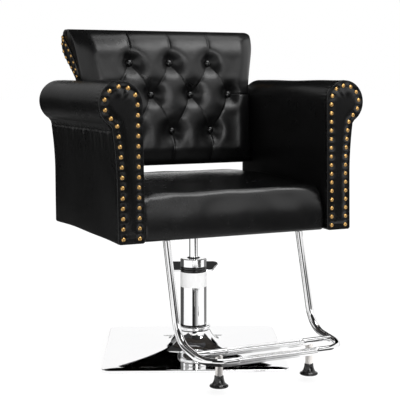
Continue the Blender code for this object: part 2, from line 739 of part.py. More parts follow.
def lift(parent):
    """The piston with its seal, and the rod on which the seat turns."""
    radius = CYLINDER_BORE - FIT
    bottom = FLANGE_TOP + FIT
    middle = (bottom + PISTON_TOP) / 2
    groove = radius - SEAL_DEPTH
    half = SEAL_HEIGHT / 2 + FIT
    profile = [(0.0, PISTON_TOP), (radius, PISTON_TOP), (radius, middle + half), (groove, middle + half),
               (groove, middle - half), (radius, middle - half), (radius, bottom), (0.0, bottom)]
    part("lift_piston", turned_mesh(profile, MEDIUM_STEPS), STEEL, parent)
    low, high = middle - SEAL_HEIGHT / 2, middle + SEAL_HEIGHT / 2
    ring = [(radius, high), (radius, low), (groove + FIT, low), (groove + FIT, high)]
    part("piston_seal", turned_mesh(ring, MEDIUM_STEPS, ring=True), RUBBER, parent)
    foot, head = (0.0, 0.0, PISTON_TOP + FIT), (0.0, 0.0, SEAT_PLATE_BOTTOM - FIT)
    part("ram_rod", rod_mesh(foot, head, ROD_RADIUS, MEDIUM_STEPS), CHROME, parent)


# Seat


def seat_carrier(parent):
    """The plate whose hub turns on the rod, and the seat board bolted to it."""
    places = bolt_places(SEAT_BOLT_HALF * math.sqrt(2))
    holes = [circle(place, BOLT_RADIUS + FIT, BOLT_STEPS) for place in places]
    half = SEAT_PLATE_SIDE / 2
    outline = rounded_rectangle(half, half, SEAT_PLATE_CORNER)
    item = part("seat_plate", slab_mesh([outline, *holes], SEAT_PLATE_BOTTOM, SEAT_PLATE_TOP), STEEL, parent)
    low = SEAT_PLATE_BOTTOM - HUB_HEIGHT
    high = SEAT_PLATE_BOTTOM + SEAT_PLATE_THICK / 2
    bore = ROD_RADIUS + FIT
    hub = [(0.0, high), (HUB_RADIUS, high), (HUB_RADIUS, SEAT_PLATE_BOTTOM), (HUB_FOOT, low), (bore, low),
           (bore, SEAT_PLATE_BOTTOM), (0.0, SEAT_PLATE_BOTTOM)]
    combine(item, cutter("seat_hub", turned_mesh(hub, MEDIUM_STEPS), parent), "UNION")
    head_seat = SEAT_PLATE_BOTTOM - FIT
    bolt = bolt_mesh(head_seat + SEAT_BOLT_LENGTH, head_seat, head_seat - BOLT_HEAD_THICK)
    for i, (x, y) in enumerate(places, 1):
        part(f"seat_bolt_{i}", bolt.copy(), STEEL, parent).location = (x, y, 0.0)
    board = slab_mesh([board_outline(0.0), *holes], SEAT_BOTTOM, SEAT_BOTTOM + BOARD_THICK)
    recess_plates(part("seat_board", board, WOOD, parent), parent)


def foot_plate_outline(sign, room):
    """The outline of a footrest plate under the seat, widened by room."""
    half = FOOT_PLATE_HALF + room
    middle = (sign * LEG_X, LEG_TOP_Y + FOOT_PLATE_SET_BACK)
    return rounded_rectangle(half, half, FOOT_PLATE_CORNER + room, middle, SIDE_STEPS)


def recess_plates(item, parent):
    """Let the footrest's plates into the underside of a piece."""
    depth = FOOT_PLATE_THICK + FIT
    for side, sign in (("left", -1.0), ("right", 1.0)):
        recess = slab_mesh([foot_plate_outline(sign, SOFT_FIT)], SEAT_BOTTOM - depth, SEAT_BOTTOM + depth)
        combine(item, cutter(f"{item.name}_recess_{side}", recess, parent))


def board_outline(room):
    """The seat board's outline, widened by room."""
    half_x = SEAT_HALF - BOARD_INSET + room
    half_y = (SEAT_REAR - SEAT_FRONT) / 2 - BOARD_INSET + room
    return rounded_rectangle(half_x, half_y, BOARD_CORNER, (0.0, (SEAT_REAR + SEAT_FRONT) / 2))


def seat_section(share, draw):
    """The seat's outline in Y and Z. share is 0 in the middle and 1 at a side; draw pulls the edge in."""
    crown = SEAT_CROWN * (1 - share * share)
    front, rear = SEAT_FRONT + draw, SEAT_REAR - draw
    low = SEAT_BOTTOM + draw * SEAT_DRAW_SHARE
    front_top = SEAT_FRONT_TOP + crown - draw
    rear_top = SEAT_REAR_TOP + crown - draw
    outline = arc((front + SEAT_TOE, low + SEAT_TOE), SEAT_TOE, 1.5 * math.pi, math.pi, TOE_STEPS)
    outline.append((front - SEAT_BULGE, (low + front_top) / 2))
    outline += arc((front + SEAT_NOSE, front_top - SEAT_NOSE), SEAT_NOSE, math.pi, math.pi / 2, ARC_STEPS)
    first, last = front + SEAT_NOSE, rear - SEAT_TAIL
    for i in range(1, SEAT_RUNS):
        t = i / SEAT_RUNS
        rise = crown * math.sin(math.pi * t)
        outline.append((first + (last - first) * t, front_top + (rear_top - front_top) * t + rise))
    outline += arc((rear - SEAT_TAIL, rear_top - SEAT_TAIL), SEAT_TAIL, math.pi / 2, 0.0, TAIL_STEPS)
    outline += arc((rear - SEAT_TOE, low + SEAT_TOE), SEAT_TOE, 0.0, -math.pi / 2, TOE_STEPS)
    return outline


def seat_cushion(parent):
    """The crowned seat, drawn in beside the arms and wrapped round its board."""
    flat = SEAT_HALF - 2 * SEAT_DRAW
    soft = SEAT_DRAW * SEAT_DRAW_SHARE
    turns = [math.pi / 2 * i / SEAT_SIDE_RUNS for i in range(SEAT_SIDE_RUNS + 1)]
    stations = [(flat * math.sin(turn), 0.0) for turn in turns]
    stations += [(SEAT_HALF - soft, soft), (SEAT_HALF, SEAT_DRAW)]
    stations = [(-x, draw) for x, draw in reversed(stations[1:])] + stations
    rings = [[(x, y, z) for y, z in seat_section(abs(x) / SEAT_HALF, draw)] for x, draw in stations]
    item = part("seat_cushion", loft_mesh(rings), LEATHER, parent)
    ceiling = SEAT_BOTTOM + BOARD_THICK + SOFT_FIT
    pocket = slab_mesh([board_outline(SOFT_FIT)], SEAT_BOTTOM - BOARD_THICK, ceiling)
    combine(item, cutter("board_pocket", pocket, parent))
    recess_plates(item, parent)


# Arms


def arm_outline(inset):
    """The scroll arm's keyhole outline in X and Z, drawn in all round by inset."""
    low = SEAT_BOTTOM + inset
    inner = ARM_INNER + inset
    foot = ARM_INNER + ARM_FOOT_THICK - inset
    waist = ARM_INNER + ARM_WAIST_THICK - inset
    outline = [(foot, low), (inner, low)]
    outline += arc((ROLL_X, ROLL_Z), ROLL_RADIUS - inset, math.pi, ROLL_END, ROLL_STEPS)
    top = ROLL_Z - ARM_WAIST_DROP - ARM_PANEL_ROUND
    outline.append((waist + FIT, ROLL_Z - ARM_WAIST_DROP + ARM_PANEL_ROUND))
    for i in range(KNEE_STEPS + 1):
        t = i / KNEE_STEPS
        outline.append((foot + (waist - foot) * (1 - t) ** 2, top + (SEAT_BOTTOM + ARM_KNEE_RISE - top) * t))
    return outline


def arm_lean(y, z):
    """How far back an arm's front stands at a height, so that its foot comes forward of its roll."""
    return ARM_LEAN * (z - ROLL_Z) / ROLL_RISE if y < (ARM_FRONT + ARM_REAR) / 2 else 0.0


def rounded_stations(low, high, low_round, high_round):
    """Places along a padded piece with the inset of its outline there, softened at both ends."""
    corners = [(1.0, 0.0), (0.29, 0.29), (0.0, 1.0)]
    stations = [(low + low_round * along, low_round * inset) for inset, along in corners]
    return stations + [(high - high_round * along, high_round * inset) for inset, along in reversed(corners)]


def arms(parent):
    """Both scroll arms and the padded panels on their fronts."""
    panel_back = ARM_FRONT + ARM_PANEL_THICK
    body = rounded_stations(panel_back + FIT, ARM_REAR, ARM_FRONT_ROUND, ARM_REAR_ROUND)
    panel = rounded_stations(ARM_FRONT, panel_back, ARM_PANEL_ROUND, ARM_FRONT_ROUND)
    for side, sign in (("left", -1.0), ("right", 1.0)):
        for name, stations in ((f"arm_{side}", body), (f"arm_front_{side}", panel)):
            rings = []
            for y, inset in stations:
                rings.append([(sign * x, y + arm_lean(y, z), z) for x, z in arm_outline(inset)])
            part(name, loft_mesh(rings), LEATHER, parent)


# Back


def back_front(z):
    """The back's front face, at its buttons: a slight lean, with a curl at the top."""
    t = (z - BACK_BOTTOM) / BACK_HEIGHT
    return BACK_FOOT_Y + BACK_LEAN * t + BACK_CURL * t ** 4


def back_middle(z):
    """The face where the tufted pad lies on the shell."""
    return back_front(z) + PAD_THICK


SCROLL_Y = back_middle(BACK_TOP) + FIT
SCROLL_Z = BACK_TOP - SCROLL_RADIUS
SCROLL_END_Y = SCROLL_Y + SCROLL_RADIUS * math.cos(SCROLL_END)
SCROLL_END_Z = SCROLL_Z + SCROLL_RADIUS * math.sin(SCROLL_END)


def back_rear(z):
    """The rear face: flat below, then out along a slope into the scroll round the top."""
    flat = back_middle(z) + SHELL_THICK
    if z > SCROLL_END_Z:
        return max(flat, SCROLL_Y + math.sqrt(max(SCROLL_RADIUS ** 2 - (z - SCROLL_Z) ** 2, 0.0)))
    return max(flat, SCROLL_END_Y + (z - SCROLL_END_Z) * math.tan(-SCROLL_END))


def pad_top(front):
    """The pad's rounded top edge in Y and Z, a quarter ellipse from its face to the seam on top."""
    seam = back_middle(BACK_TOP)
    quarter = arc((0.0, 0.0), 1.0, math.pi, math.pi / 2, SEAM_STEPS)[1:-1]
    return [(seam + (seam - front) * y, PAD_FACE_TOP + PAD_TOP_ROUND * z) for y, z in quarter]


def back_half(z):
    """Half the back's width: it fits between the arms and flares out above them."""
    return BACK_HALF + BACK_FLARE * max(0.0, (z - FLARE_START) / (BACK_TOP - FLARE_START))


def buttons():
    """Places of the tuft buttons in X and Z, row by row from the top."""
    places = []
    for z, count in zip(BUTTON_ROW_Z, BUTTON_ROW_COUNT):
        places += [((i - (count - 1) / 2) * BUTTON_PITCH, z) for i in range(count)]
    return places


def pleats():
    """Pleats as lines in X and Z: diagonals between rows, uprights to the ends and level ones to a side."""
    lines = []
    places = buttons()
    reach = BUTTON_PITCH * 3 / 4
    for upper, lower in zip(BUTTON_ROW_Z, BUTTON_ROW_Z[1:]):
        for x0, z0 in places:
            for x1, z1 in places:
                if z0 == upper and z1 == lower and abs(x0 - x1) < reach:
                    lines.append(((x0, z0), (x1, z1)))
    top, middle, bottom = BUTTON_ROW_Z
    outer = max(x for x, z in places if z == middle)
    lines += [((x, z), (x, BACK_TOP)) for x, z in places if z == top]
    lines += [((x, z), (x, BACK_BOTTOM)) for x, z in places if z == bottom]
    lines += [((sign * outer, middle), (sign * back_half(middle), middle)) for sign in (-1.0, 1.0)]
    return lines


PLEATS = pleats()
BUTTONS = buttons()


def line_distance(x, z, line):
    """Distance from a point to a pleat."""
    (x0, z0), (x1, z1) = line
    dx, dz = x1 - x0, z1 - z0
    t = min(max(((x - x0) * dx + (z - z0) * dz) / (dx * dx + dz * dz), 0.0), 1.0)
    return math.hypot(x - x0 - t * dx, z - z0 - t * dz)


def tufted_face(x, z):
    """The pad's front face: it swells between the pleats, sinks at buttons and falls off at its edges."""
    pleat = min(line_distance(x, z, line) for line in PLEATS)
    button = min(math.hypot(x - bx, z - bz) for bx, bz in BUTTONS)
    edge = min(back_half(z) - abs(x), z - BACK_BOTTOM)
    fade = smoothstep(-EDGE_FADE / 2, EDGE_FADE, edge)
    swell = PUFF * (1 - math.exp(-(pleat / PLEAT_WIDTH) ** 2)) * fade
    return back_front(z) - swell + PIT_DEPTH * math.exp(-(button / PIT_WIDTH) ** 2)


def steps_between(low, high, count):
    """Evenly spaced values after low, up to high."""
    return [low + (high - low) * i / count for i in range(1, count + 1)]


def seam_heights():
    """Heights shared by the pad's back and the shell's front, with one where the flare starts."""
    lower = steps_between(BACK_BOTTOM, FLARE_START, SEAM_STEPS)
    return [BACK_BOTTOM, *lower, *steps_between(FLARE_START, BACK_TOP, SEAM_STEPS)]


def face_heights():
    """Heights of the lines across the tufted face, evenly spaced between the rows of buttons."""
    top, middle, bottom = BUTTON_ROW_Z
    bounds = [BACK_BOTTOM + PAD_TOE_ROUND, bottom, middle, top, PAD_FACE_TOP]
    heights = [bounds[0]]
    for low, high in zip(bounds, bounds[1:]):
        heights += steps_between(low, high, TUFT_STEPS if low in BUTTON_ROW_Z[1:] else TUFT_STEPS - 1)
    return heights


def back_stations():
    """Places across the back: a fraction of the button pitch apart, with two more at each side."""
    step = BUTTON_PITCH / TUFT_STEPS
    count = int((BACK_HALF - EDGE_FADE / 3) / step)
    inner = [i * step for i in range(-count, count + 1)]
    edge = [BACK_HALF - EDGE_FADE / 5, BACK_HALF]
    return [-x for x in reversed(edge)] + inner + edge


def flared(x, z):
    """A place across the back, moved out with the flare near the sides."""
    return x + math.copysign((back_half(z) - BACK_HALF) * (abs(x) / BACK_HALF) ** FLARE_POWER, x)


def back_cushion(parent):
    """The tufted pad."""
    heights = face_heights()
    seam = seam_heights()
    rings = []
    for x in back_stations():
        face = [(tufted_face(flared(x, z), z), z) for z in heights]
        toe = (back_front(BACK_BOTTOM) + PAD_TOE_ROUND, BACK_BOTTOM)
        rear = [(back_middle(z), z) for z in reversed(seam)]
        outline = face + pad_top(face[-1][0]) + rear + [toe]
        rings.append([(flared(x, z), y, z) for y, z in outline])
    first = min(range(len(heights)), key=lambda i: abs(heights[i] - FLARE_START))
    last = len(heights) + SEAM_STEPS - 1 + list(reversed(seam)).index(FLARE_START)
    part("back_cushion", loft_mesh(rings, cap_cut=(first, last)), LEATHER, parent)


def back_shell(parent):
    """The rear half of the back, with a scroll along its top."""
    seam = seam_heights()
    scroll = arc((SCROLL_Y, SCROLL_Z), SCROLL_RADIUS, math.pi / 2, SCROLL_END, SCROLL_STEPS)[1:]
    rear_heights = steps_between(SCROLL_END_Z, FLARE_START, SEAM_STEPS + 1)
    rear_heights += steps_between(FLARE_START, BACK_BOTTOM + SHELL_EDGE, SEAM_STEPS)
    front = [(back_middle(z) + FIT, z) for z in seam]
    toe = (back_rear(BACK_BOTTOM) - SHELL_EDGE, BACK_BOTTOM)
    rear = scroll + [(back_rear(z), z) for z in rear_heights] + [toe]
    edge = SHELL_EDGE / BACK_HALF
    rings = []
    for share in (-1.0, edge - 1, -0.5, 0.0, 0.5, 1 - edge, 1.0):
        pull = SHELL_EDGE / 2 if abs(share) == 1.0 else 0.0
        outline = front + [(y - pull, z) for y, z in rear]
        rings.append([(flared(share * BACK_HALF, z), y, z) for y, z in outline])
    first = seam.index(FLARE_START)
    last = len(seam) + len(scroll) + rear_heights.index(FLARE_START)
    part("back_shell", loft_mesh(rings, cap_cut=(first, last)), LEATHER, parent)


def side_front(z):
    """The front edge of the back's side, which rounds off with the pad's top."""
    if z <= PAD_FACE_TOP:
        return back_front(z)
    rise = (z - PAD_FACE_TOP) / PAD_TOP_ROUND
    seam = back_middle(BACK_TOP)
    return seam - (seam - back_front(PAD_FACE_TOP)) * math.sqrt(1 - rise * rise)


def ear_outline(inset):
    """The nailed side panel's teardrop in Y and Z: pointed below, with a front edge that slants back."""
    front, rear = [], []
    for i in range(EAR_STEPS):
        t = (i + 0.5) / EAR_STEPS
        z = EAR_LOW + inset + (EAR_HIGH - EAR_LOW - 2 * inset) * t
        tip = math.sin(math.pi / 2 * min(t / EAR_FULL_AT, 1.0)) ** EAR_TIP_POWER
        width = tip * math.sqrt(1 - t ** EAR_TOP_POWER)
        slant = back_front(z) + EAR_SLANT * t ** EAR_SLANT_POWER
        near = max(side_front(z), slant) + EAR_EDGE + inset
        far = back_rear(z) - EAR_EDGE - inset
        centre, half = (near + far) / 2, (far - near) / 2 * width
        front.append((centre - half, z))
        rear.append((centre + half, z))
    middle = (front[0][0] + rear[0][0]) / 2
    return [(middle, EAR_LOW + inset), *front, *reversed(rear)]


def back_sides(parent):
    """The teardrop panels on the flared sides, above the arms."""
    slope = BACK_FLARE / (BACK_TOP - FLARE_START)
    soft = EAR_THICKNESS / 2
    lift = FIT * math.hypot(1.0, slope)
    for side, sign in (("left", -1.0), ("right", 1.0)):
        rings = []
        for out, inset in ((lift, 0.0), (EAR_THICKNESS - soft, 0.0), (EAR_THICKNESS, soft)):
            base = BACK_HALF + out - slope * FLARE_START
            rings.append([(sign * (base + slope * z), y, z) for y, z in ear_outline(inset)])
        part(f"back_side_{side}", loft_mesh(rings), LEATHER, parent)


def pit_slope(x, z, row, heights, lean):
    """The steepest facet of the pad round a button, against a plane that leans with the back."""
    step = BUTTON_PITCH / TUFT_STEPS
    turns = ((1, 0), (1, 1), (0, 1), (-1, 1), (-1, 0), (-1, -1), (0, -1), (1, -1))
    pit = tufted_face(x, z)
    spokes = []
    for i, j in turns:
        dx, dz = i * step, heights[row + j] - z
        spokes.append((dx, dz, pit + math.tan(lean) * dz - tufted_face(x + dx, z + dz)))
    pairs = [(k, (k + 1) % 8) for k in range(8)] + [(k, (k + 2) % 8) for k in range(0, 8, 2)]
    slopes = []
    for k, m in pairs:
        (ax, az, ah), (bx, bz, bh) = spokes[k], spokes[m]
        area = ax * bz - bx * az
        slopes.append(math.hypot(ah * bz - bh * az, ax * bh - bx * ah) / abs(area))
    return max(slopes)


def tuft_buttons(parent):
    """Domed buttons, each with a cone behind that follows the pit it is pulled into."""
    step = BUTTON_PITCH / TUFT_STEPS
    heights = face_heights()
    for number, (x, z) in enumerate(BUTTONS, 1):
        row = min(range(len(heights)), key=lambda i: abs(heights[i] - z))
        lean = math.atan2(back_front(z + step) - back_front(z - step), 2 * step)
        cone = BUTTON_RADIUS * pit_slope(x, z, row, heights, lean)
        depth = cone * (1 - BUTTON_TIP / BUTTON_RADIUS)
        dome = arc((0.0, 0.0), 1.0, math.pi / 2, 0.0, SIDE_STEPS)
        profile = [(BUTTON_RADIUS * x, BUTTON_DOME * z) for x, z in dome[:-1]]
        profile += [(BUTTON_RADIUS, 0.0), (BUTTON_TIP, -depth), (0.0, -depth)]
        item = part(f"tuft_button_{number}", turned_mesh(profile, BUTTON_STEPS), LEATHER, parent)
        item.location = (x, tufted_face(x, z) - cone - BUTTON_FIT, z)
        item.rotation_euler = (math.pi / 2 - lean, 0.0, 0.0)


# Footrest


def footrest(parent):
    """One bent tube with a cross bar, hung under the seat on two plates, and its two bell feet."""
    front_z = RAIL_Z + (FRONT_BAR_Y - RAIL_Y) * math.tan(RAIL_SLOPE)
    past_y = LEG_TOP_Y + FOOT_TUBE * math.tan(LEG_SLOPE)
    past_z = FOOT_PLATE_LOW + FOOT_TUBE
    half = [(LEG_X, past_y, past_z), (LEG_X, RAIL_Y, RAIL_Z), (LEG_X, FRONT_BAR_Y, front_z)]
    corners = [(-x, y, z) for x, y, z in half] + list(reversed(half))
    route = rounded_path(corners, (LEG_BEND, CORNER_BEND, CORNER_BEND, LEG_BEND))
    tube = part("footrest_tube", tube_mesh(route, FOOT_TUBE), CHROME, parent)
    wide = LEG_X + 2 * FOOT_TUBE
    above = box_mesh((-wide, LEG_TOP_Y - wide, FOOT_PLATE_LOW - FIT),
                     (wide, LEG_TOP_Y + wide, FOOT_PLATE_LOW + wide))
    combine(tube, cutter("leg_trim", above, parent))

    cross_z = RAIL_Z + (CROSS_BAR_Y - RAIL_Y) * math.tan(RAIL_SLOPE)
    cross = Vector((0.0, CROSS_BAR_Y, cross_z))
    side = Vector((LEG_X, 0.0, 0.0))
    bar = part("footrest_bar", rod_mesh(cross - side, cross + side, FOOT_TUBE, SMALL_STEPS), CHROME, parent)
    along = RAIL_DIRECTION * FOOT_TUBE * 4
    for name, sign in (("left", -1.0), ("right", 1.0)):
        end = cross + side * sign
        cope = rod_mesh(end - along, end + along, FOOT_TUBE + FIT, MEDIUM_STEPS)
        combine(bar, cutter(f"bar_cope_{name}", cope, parent))

        plate = foot_plate_outline(sign, 0.0)
        plate = slab_mesh([plate], FOOT_PLATE_LOW, FOOT_PLATE_LOW + FOOT_PLATE_THICK)
        part(f"footrest_plate_{name}", plate, STEEL, parent)

        x = sign * FOOT_X
        foot_top = FOOT_CLEAR + FOOT_HEIGHT
        post_low = foot_top - FOOT_SOCKET + FIT
        post = rod_mesh((x, CROSS_BAR_Y, post_low), (x, CROSS_BAR_Y, cross_z), POST_RADIUS, SMALL_STEPS)
        post_item = part(f"foot_post_{name}", post, CHROME, parent)
        saddle = rod_mesh(cross - side, cross + side, FOOT_TUBE + FIT, MEDIUM_STEPS)
        combine(post_item, cutter(f"post_saddle_{name}", saddle, parent))

        socket = POST_RADIUS + FIT
        waist = arc((1.0, 1.0), 1.0, math.pi, 1.5 * math.pi, BELL_STEPS)
        flare, fall = FOOT_RADIUS - FOOT_NECK, FOOT_HEIGHT - FOOT_RIM
        bell = [(FOOT_NECK + flare * x, FOOT_CLEAR + FOOT_RIM + fall * z) for x, z in waist]
        bell += [(FOOT_RADIUS, FOOT_CLEAR + FOOT_RIM / 4), (FOOT_RADIUS - FOOT_RIM / 4, FOOT_CLEAR)]
        bell.append((0.0, FOOT_CLEAR))
        recess = [(0.0, foot_top - FOOT_SOCKET), (socket, foot_top - FOOT_SOCKET), (socket, foot_top)]
        pad = part(f"foot_pad_{name}", turned_mesh(recess + bell, MEDIUM_STEPS), PLASTIC, parent)
        pad.location = (x, CROSS_BAR_Y, 0.0)


def main():
    """Build the chair body by body."""
    base = frame("base_axis", rotation=(0.0, 0.0, BASE_TURN))
    base_and_pump(base)
    lever_bracket(base)
    foot_lever(frame("lever_axis", (0.0, LEVER_PIN_Y, LEVER_PIN_Z), (LEVER_RISE, 0.0, 0.0), base))
    plunger(frame("plunger_axis", (0.0, PLUNGER_Y, plunger_foot()), parent=base))
    lift(frame("lift_axis"))
    seat = frame("swivel_axis")
    seat_carrier(seat)
    seat_cushion(seat)
    arms(seat)
    back_shell(seat)
    back_cushion(seat)
    back_sides(seat)
    tuft_buttons(seat)
    footrest(seat)


main()
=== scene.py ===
"""Looks of the hairdressing chair: leather, chrome and brass fitted over its solids.

Laid out as an add-on, with settings, one operator for each group of pieces and a sidebar panel.
Metres, +Z up. The chair faces -Y and stands on the origin, as its solids do.
"""
import json
import math

import bmesh
import bpy
import numpy as np
from bpy.props import FloatProperty, FloatVectorProperty, IntProperty, PointerProperty
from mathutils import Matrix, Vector


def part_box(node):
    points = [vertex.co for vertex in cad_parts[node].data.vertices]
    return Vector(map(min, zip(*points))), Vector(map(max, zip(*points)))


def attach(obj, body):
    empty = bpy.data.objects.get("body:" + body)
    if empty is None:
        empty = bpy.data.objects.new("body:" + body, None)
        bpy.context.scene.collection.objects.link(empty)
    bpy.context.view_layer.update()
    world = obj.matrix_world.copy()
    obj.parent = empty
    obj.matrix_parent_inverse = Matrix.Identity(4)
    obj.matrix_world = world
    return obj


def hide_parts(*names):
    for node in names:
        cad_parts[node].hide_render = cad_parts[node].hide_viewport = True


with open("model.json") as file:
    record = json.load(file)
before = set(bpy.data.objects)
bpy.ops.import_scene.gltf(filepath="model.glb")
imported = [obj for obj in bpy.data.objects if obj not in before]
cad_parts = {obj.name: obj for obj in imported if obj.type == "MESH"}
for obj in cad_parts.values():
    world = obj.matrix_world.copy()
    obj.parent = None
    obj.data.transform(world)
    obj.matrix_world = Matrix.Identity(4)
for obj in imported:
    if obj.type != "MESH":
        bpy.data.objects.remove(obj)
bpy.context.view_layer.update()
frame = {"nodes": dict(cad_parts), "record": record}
NODES = frame["nodes"]

bl_info = {
    "name": "Hairdressing Chair Looks",
    "version": (1, 0, 0),
    "blender": (4, 5, 0),
    "location": "3D View > Sidebar > Chair",
    "description": "Leather, chrome and brass for a hairdressing chair",
    "category": "Object",
}


def corners(node):
    """The lowest and highest corner of a solid as arrays."""
    return tuple(np.array(corner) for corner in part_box(node))


# Places read from the solids
SEAT_LOW, SEAT_HIGH = corners("seat_cushion")
BOARD_LOW, BOARD_HIGH = corners("seat_board")
PLATE_LOW, PLATE_HIGH = corners("footrest_plate_right")
ARM_LOW, ARM_HIGH = corners("arm_right")
FACE_LOW = corners("arm_front_right")[0]
PAD_LOW, PAD_HIGH = corners("back_cushion")
EAR_LOW, EAR_HIGH = corners("back_side_right")
COVER_LOW = corners("base_shell")[0]
TRIM_LOW, TRIM_HIGH = corners("trim_ring")
ROD_LOW, ROD_HIGH = corners("ram_rod")
TUBE_LOW, TUBE_HIGH = corners("footrest_tube")
BAR_LOW, BAR_HIGH = corners("footrest_bar")
FOOT_LOW, FOOT_HIGH = corners("foot_pad_right")
POST_LOW, POST_HIGH = corners("foot_post_right")
GLAND_LOW, GLAND_HIGH = corners("pump_gland")

# Both sides of the chair, with the sign that X has there
SIDES = (("left", -1.0), ("right", 1.0))

# Seat form
SEAT_BULGE = 0.003
SEAT_FRONT = SEAT_LOW[1] + SEAT_BULGE
SEAT_REAR = SEAT_HIGH[1]
SEAT_HALF = SEAT_HIGH[0]
SEAT_BOTTOM = SEAT_LOW[2]
SEAT_FRONT_RISE = 0.105
SEAT_REAR_RISE = 0.114
SEAT_FRONT_TOP = SEAT_BOTTOM + SEAT_FRONT_RISE
SEAT_REAR_TOP = SEAT_BOTTOM + SEAT_REAR_RISE
SEAT_CROWN = 0.010
SEAT_CROWN_POWER = 6
SEAT_NOSE = 0.032
SEAT_LEAN = 0.012
SEAT_TILT = math.radians(25)
SEAT_TAIL = 0.026
SEAT_TOE = 0.006
SEAT_DRAW = 0.011
SEAT_DRAW_SHARE = 0.4
SEAT_COLUMNS = 111
SEAT_ROWS = 90
SEAT_UNEVEN = 0.0009
SEAT_UNEVEN_FADE = 0.05
SEAT_GATHER = 0.0016
SEAT_GATHER_PLACE = 0.012
SEAT_GATHER_REACH = 0.017
SEAT_GATHER_WIDTH = 0.028
SEAT_GATHER_WAVE = 495.0
SEAT_UPPER_START = 0.05
SEAT_UPPER_FADE = 0.04
POCKET_ROOM = 0.0006

# Cloth that is blown up into the seat's and the back's padding
CLOTH = {
    "quality": 6, "mass": 0.4, "tension_stiffness": 40.0, "compression_stiffness": 15.0,
    "shear_stiffness": 15.0, "bending_stiffness": 8.0, "shrink_min": -0.004, "use_pressure": True,
    "uniform_pressure_force": 4.0}
CLOTH_FRAMES = 20
CLOTH_STRIDE = 2
HOLD_LEVELS = 4
SMOOTH_PASSES = 3
SEAT_SWELL = 0.004
SEAT_HOLD_SIDE = 0.09
SEAT_HOLD_FOOT = 0.01
SEAT_HOLD_RISE = 0.08
PAD_SWELL = 0.005
PAD_HOLD_EDGE = 0.050
PAD_HOLD_BUTTON = 0.012
PAD_HOLD_FADE = 0.026

# Scroll arm form
ROLL_RADIUS = (ARM_HIGH[0] - ARM_LOW[0]) / 2
ROLL_X = ARM_LOW[0] + ROLL_RADIUS
ROLL_Z = ARM_HIGH[2] - ROLL_RADIUS
ROLL_END = math.radians(-58.0)
ARM_LEAN = 0.010
ARM_FOOT_THICK = 0.0658
ARM_WAIST_THICK = 0.0740
ARM_WAIST_DROP = 0.061
ARM_KNEE_RISE = 0.130
ARM_CORNER = 0.006
ARM_FRONT = ARM_LOW[1] + ARM_LEAN
FACE_FRONT = FACE_LOW[1] + ARM_LEAN
FACE_THICK = 0.009
FACE_BACK = FACE_FRONT + FACE_THICK
ARM_POINTS = 480
ARM_RINGS = 150
ARM_REAR_ROUND = 0.012
ARM_SEAM_OUT = 0.0012
ARM_SEAM_RISE = 0.009
ARM_REAR_FADE = 0.03
ARM_UNEVEN = 0.0011
ARM_UNEVEN_FADE = 0.1
ARM_BOW = 0.0035
ARM_BOW_REACH = 0.05
PLEAT_DEPTH = 0.0008
PLEAT_PITCH = 0.041
PLEAT_FINE_PITCH = 0.0235
PLEAT_FALL = 0.030
PLEAT_START = 0.004
PLEAT_FRONT_FADE = 0.06
PLEAT_REAR_FADE = 0.08
SEAM_DEPTH = 0.0035
SEAM_WIDTH = 0.0028
SEAM_LIP = 0.0016
SEAM_LIP_PLACE = 0.010
SEAM_LIP_WIDTH = 0.007
LAP_DEPTH = 0.0011
LAP_PITCH = 0.027
LAP_WIDTH = 0.006
GATHER_DEPTH = 0.0007
GATHER_PITCH = 0.0095
GATHER_REACH = 0.010

# Front panels and nailheads
FACE_COLUMNS = 44
FACE_ROUND = 0.0015
FACE_CROWN = 0.0030
FACE_CROWN_START = 0.006
FACE_CROWN_RUN = 0.026
FACE_DIMPLE = 0.0017
FACE_DIMPLE_WIDTH = 0.0062
PUCKER_DEPTH = 0.0018
PUCKER_RADIUS = 0.030
PUCKER_WIDTH = 0.012
PUCKER_DROP = 0.01
PUCKER_FADE = 0.02
PUCKER_TURN = 1.7
PUCKER_FAN = 0.6
TUG_DEPTH = 0.0009
TUG_PITCH = 0.0118
TUG_PLACE = 0.013
TUG_WIDTH = 0.006
NAIL_END_SHARE = 0.3
NAIL_STEPS = 12
NAIL_RINGS = 4
NAIL_SINK = 0.35

# Back form
BACK_BOTTOM = PAD_LOW[2]
BACK_TOP = PAD_HIGH[2]
BACK_HEIGHT = BACK_TOP - BACK_BOTTOM
BACK_HALF = SEAT_HALF
BACK_FLARE = PAD_HIGH[0] - BACK_HALF
BACK_SET_IN = 0.0665
BACK_FOOT_Y = ARM_HIGH[1] - BACK_SET_IN
BACK_LEAN = 0.016
BACK_CURL = 0.027
BACK_CURL_POWER = 4
FLARE_DROP = 0.143
FLARE_START = BACK_TOP - FLARE_DROP
FLARE_POWER = 8
PAD_COLUMNS = 201
PAD_ROWS = 140
PAD_THICK = 0.046
PAD_TOP_ROUND = 0.028
PAD_TOE_ROUND = 0.026
PAD_SIDE_ROUND = 0.018
PAD_SIDE_DEPTH = 0.022
PAD_SIDE_EASE = 0.75
PAD_FACE_TOP = BACK_TOP - PAD_TOP_ROUND
PAD_EDGE_FADE = 0.050
PAD_EDGE_SHARE = 0.30
PAD_TOP_ROLL = 0.007
PAD_TOP_ROLL_RUN = 0.036
PAD_SIDE_ROLL = 0.003
PAD_SIDE_ROLL_RUN = 0.04
PAD_TOP_HANDLE = 0.6
PAD_SEAM_HANDLE = 0.55
SHELL_COLUMNS = 121
SHELL_ROWS = 120
SHELL_TURN_ROWS = 40
SHELL_THICK = 0.0155
SHELL_EDGE = 0.006
SHELL_UNEVEN = 0.0018
SHELL_UNEVEN_FINE = 0.0010
SHELL_SEAM = 0.0022
SHELL_SEAM_PLACE = 0.017
SHELL_SIDE_FADE = 0.06
SHELL_FOOT_FADE = 0.05
SHELL_TOP_FADE = 0.02
SHELL_EDGE_FADE = 0.01
SCROLL_RADIUS = 0.0455
SCROLL_END = math.radians(-42.0)
BACK_CORNER = 0.007
EAR_SLANT = 0.066
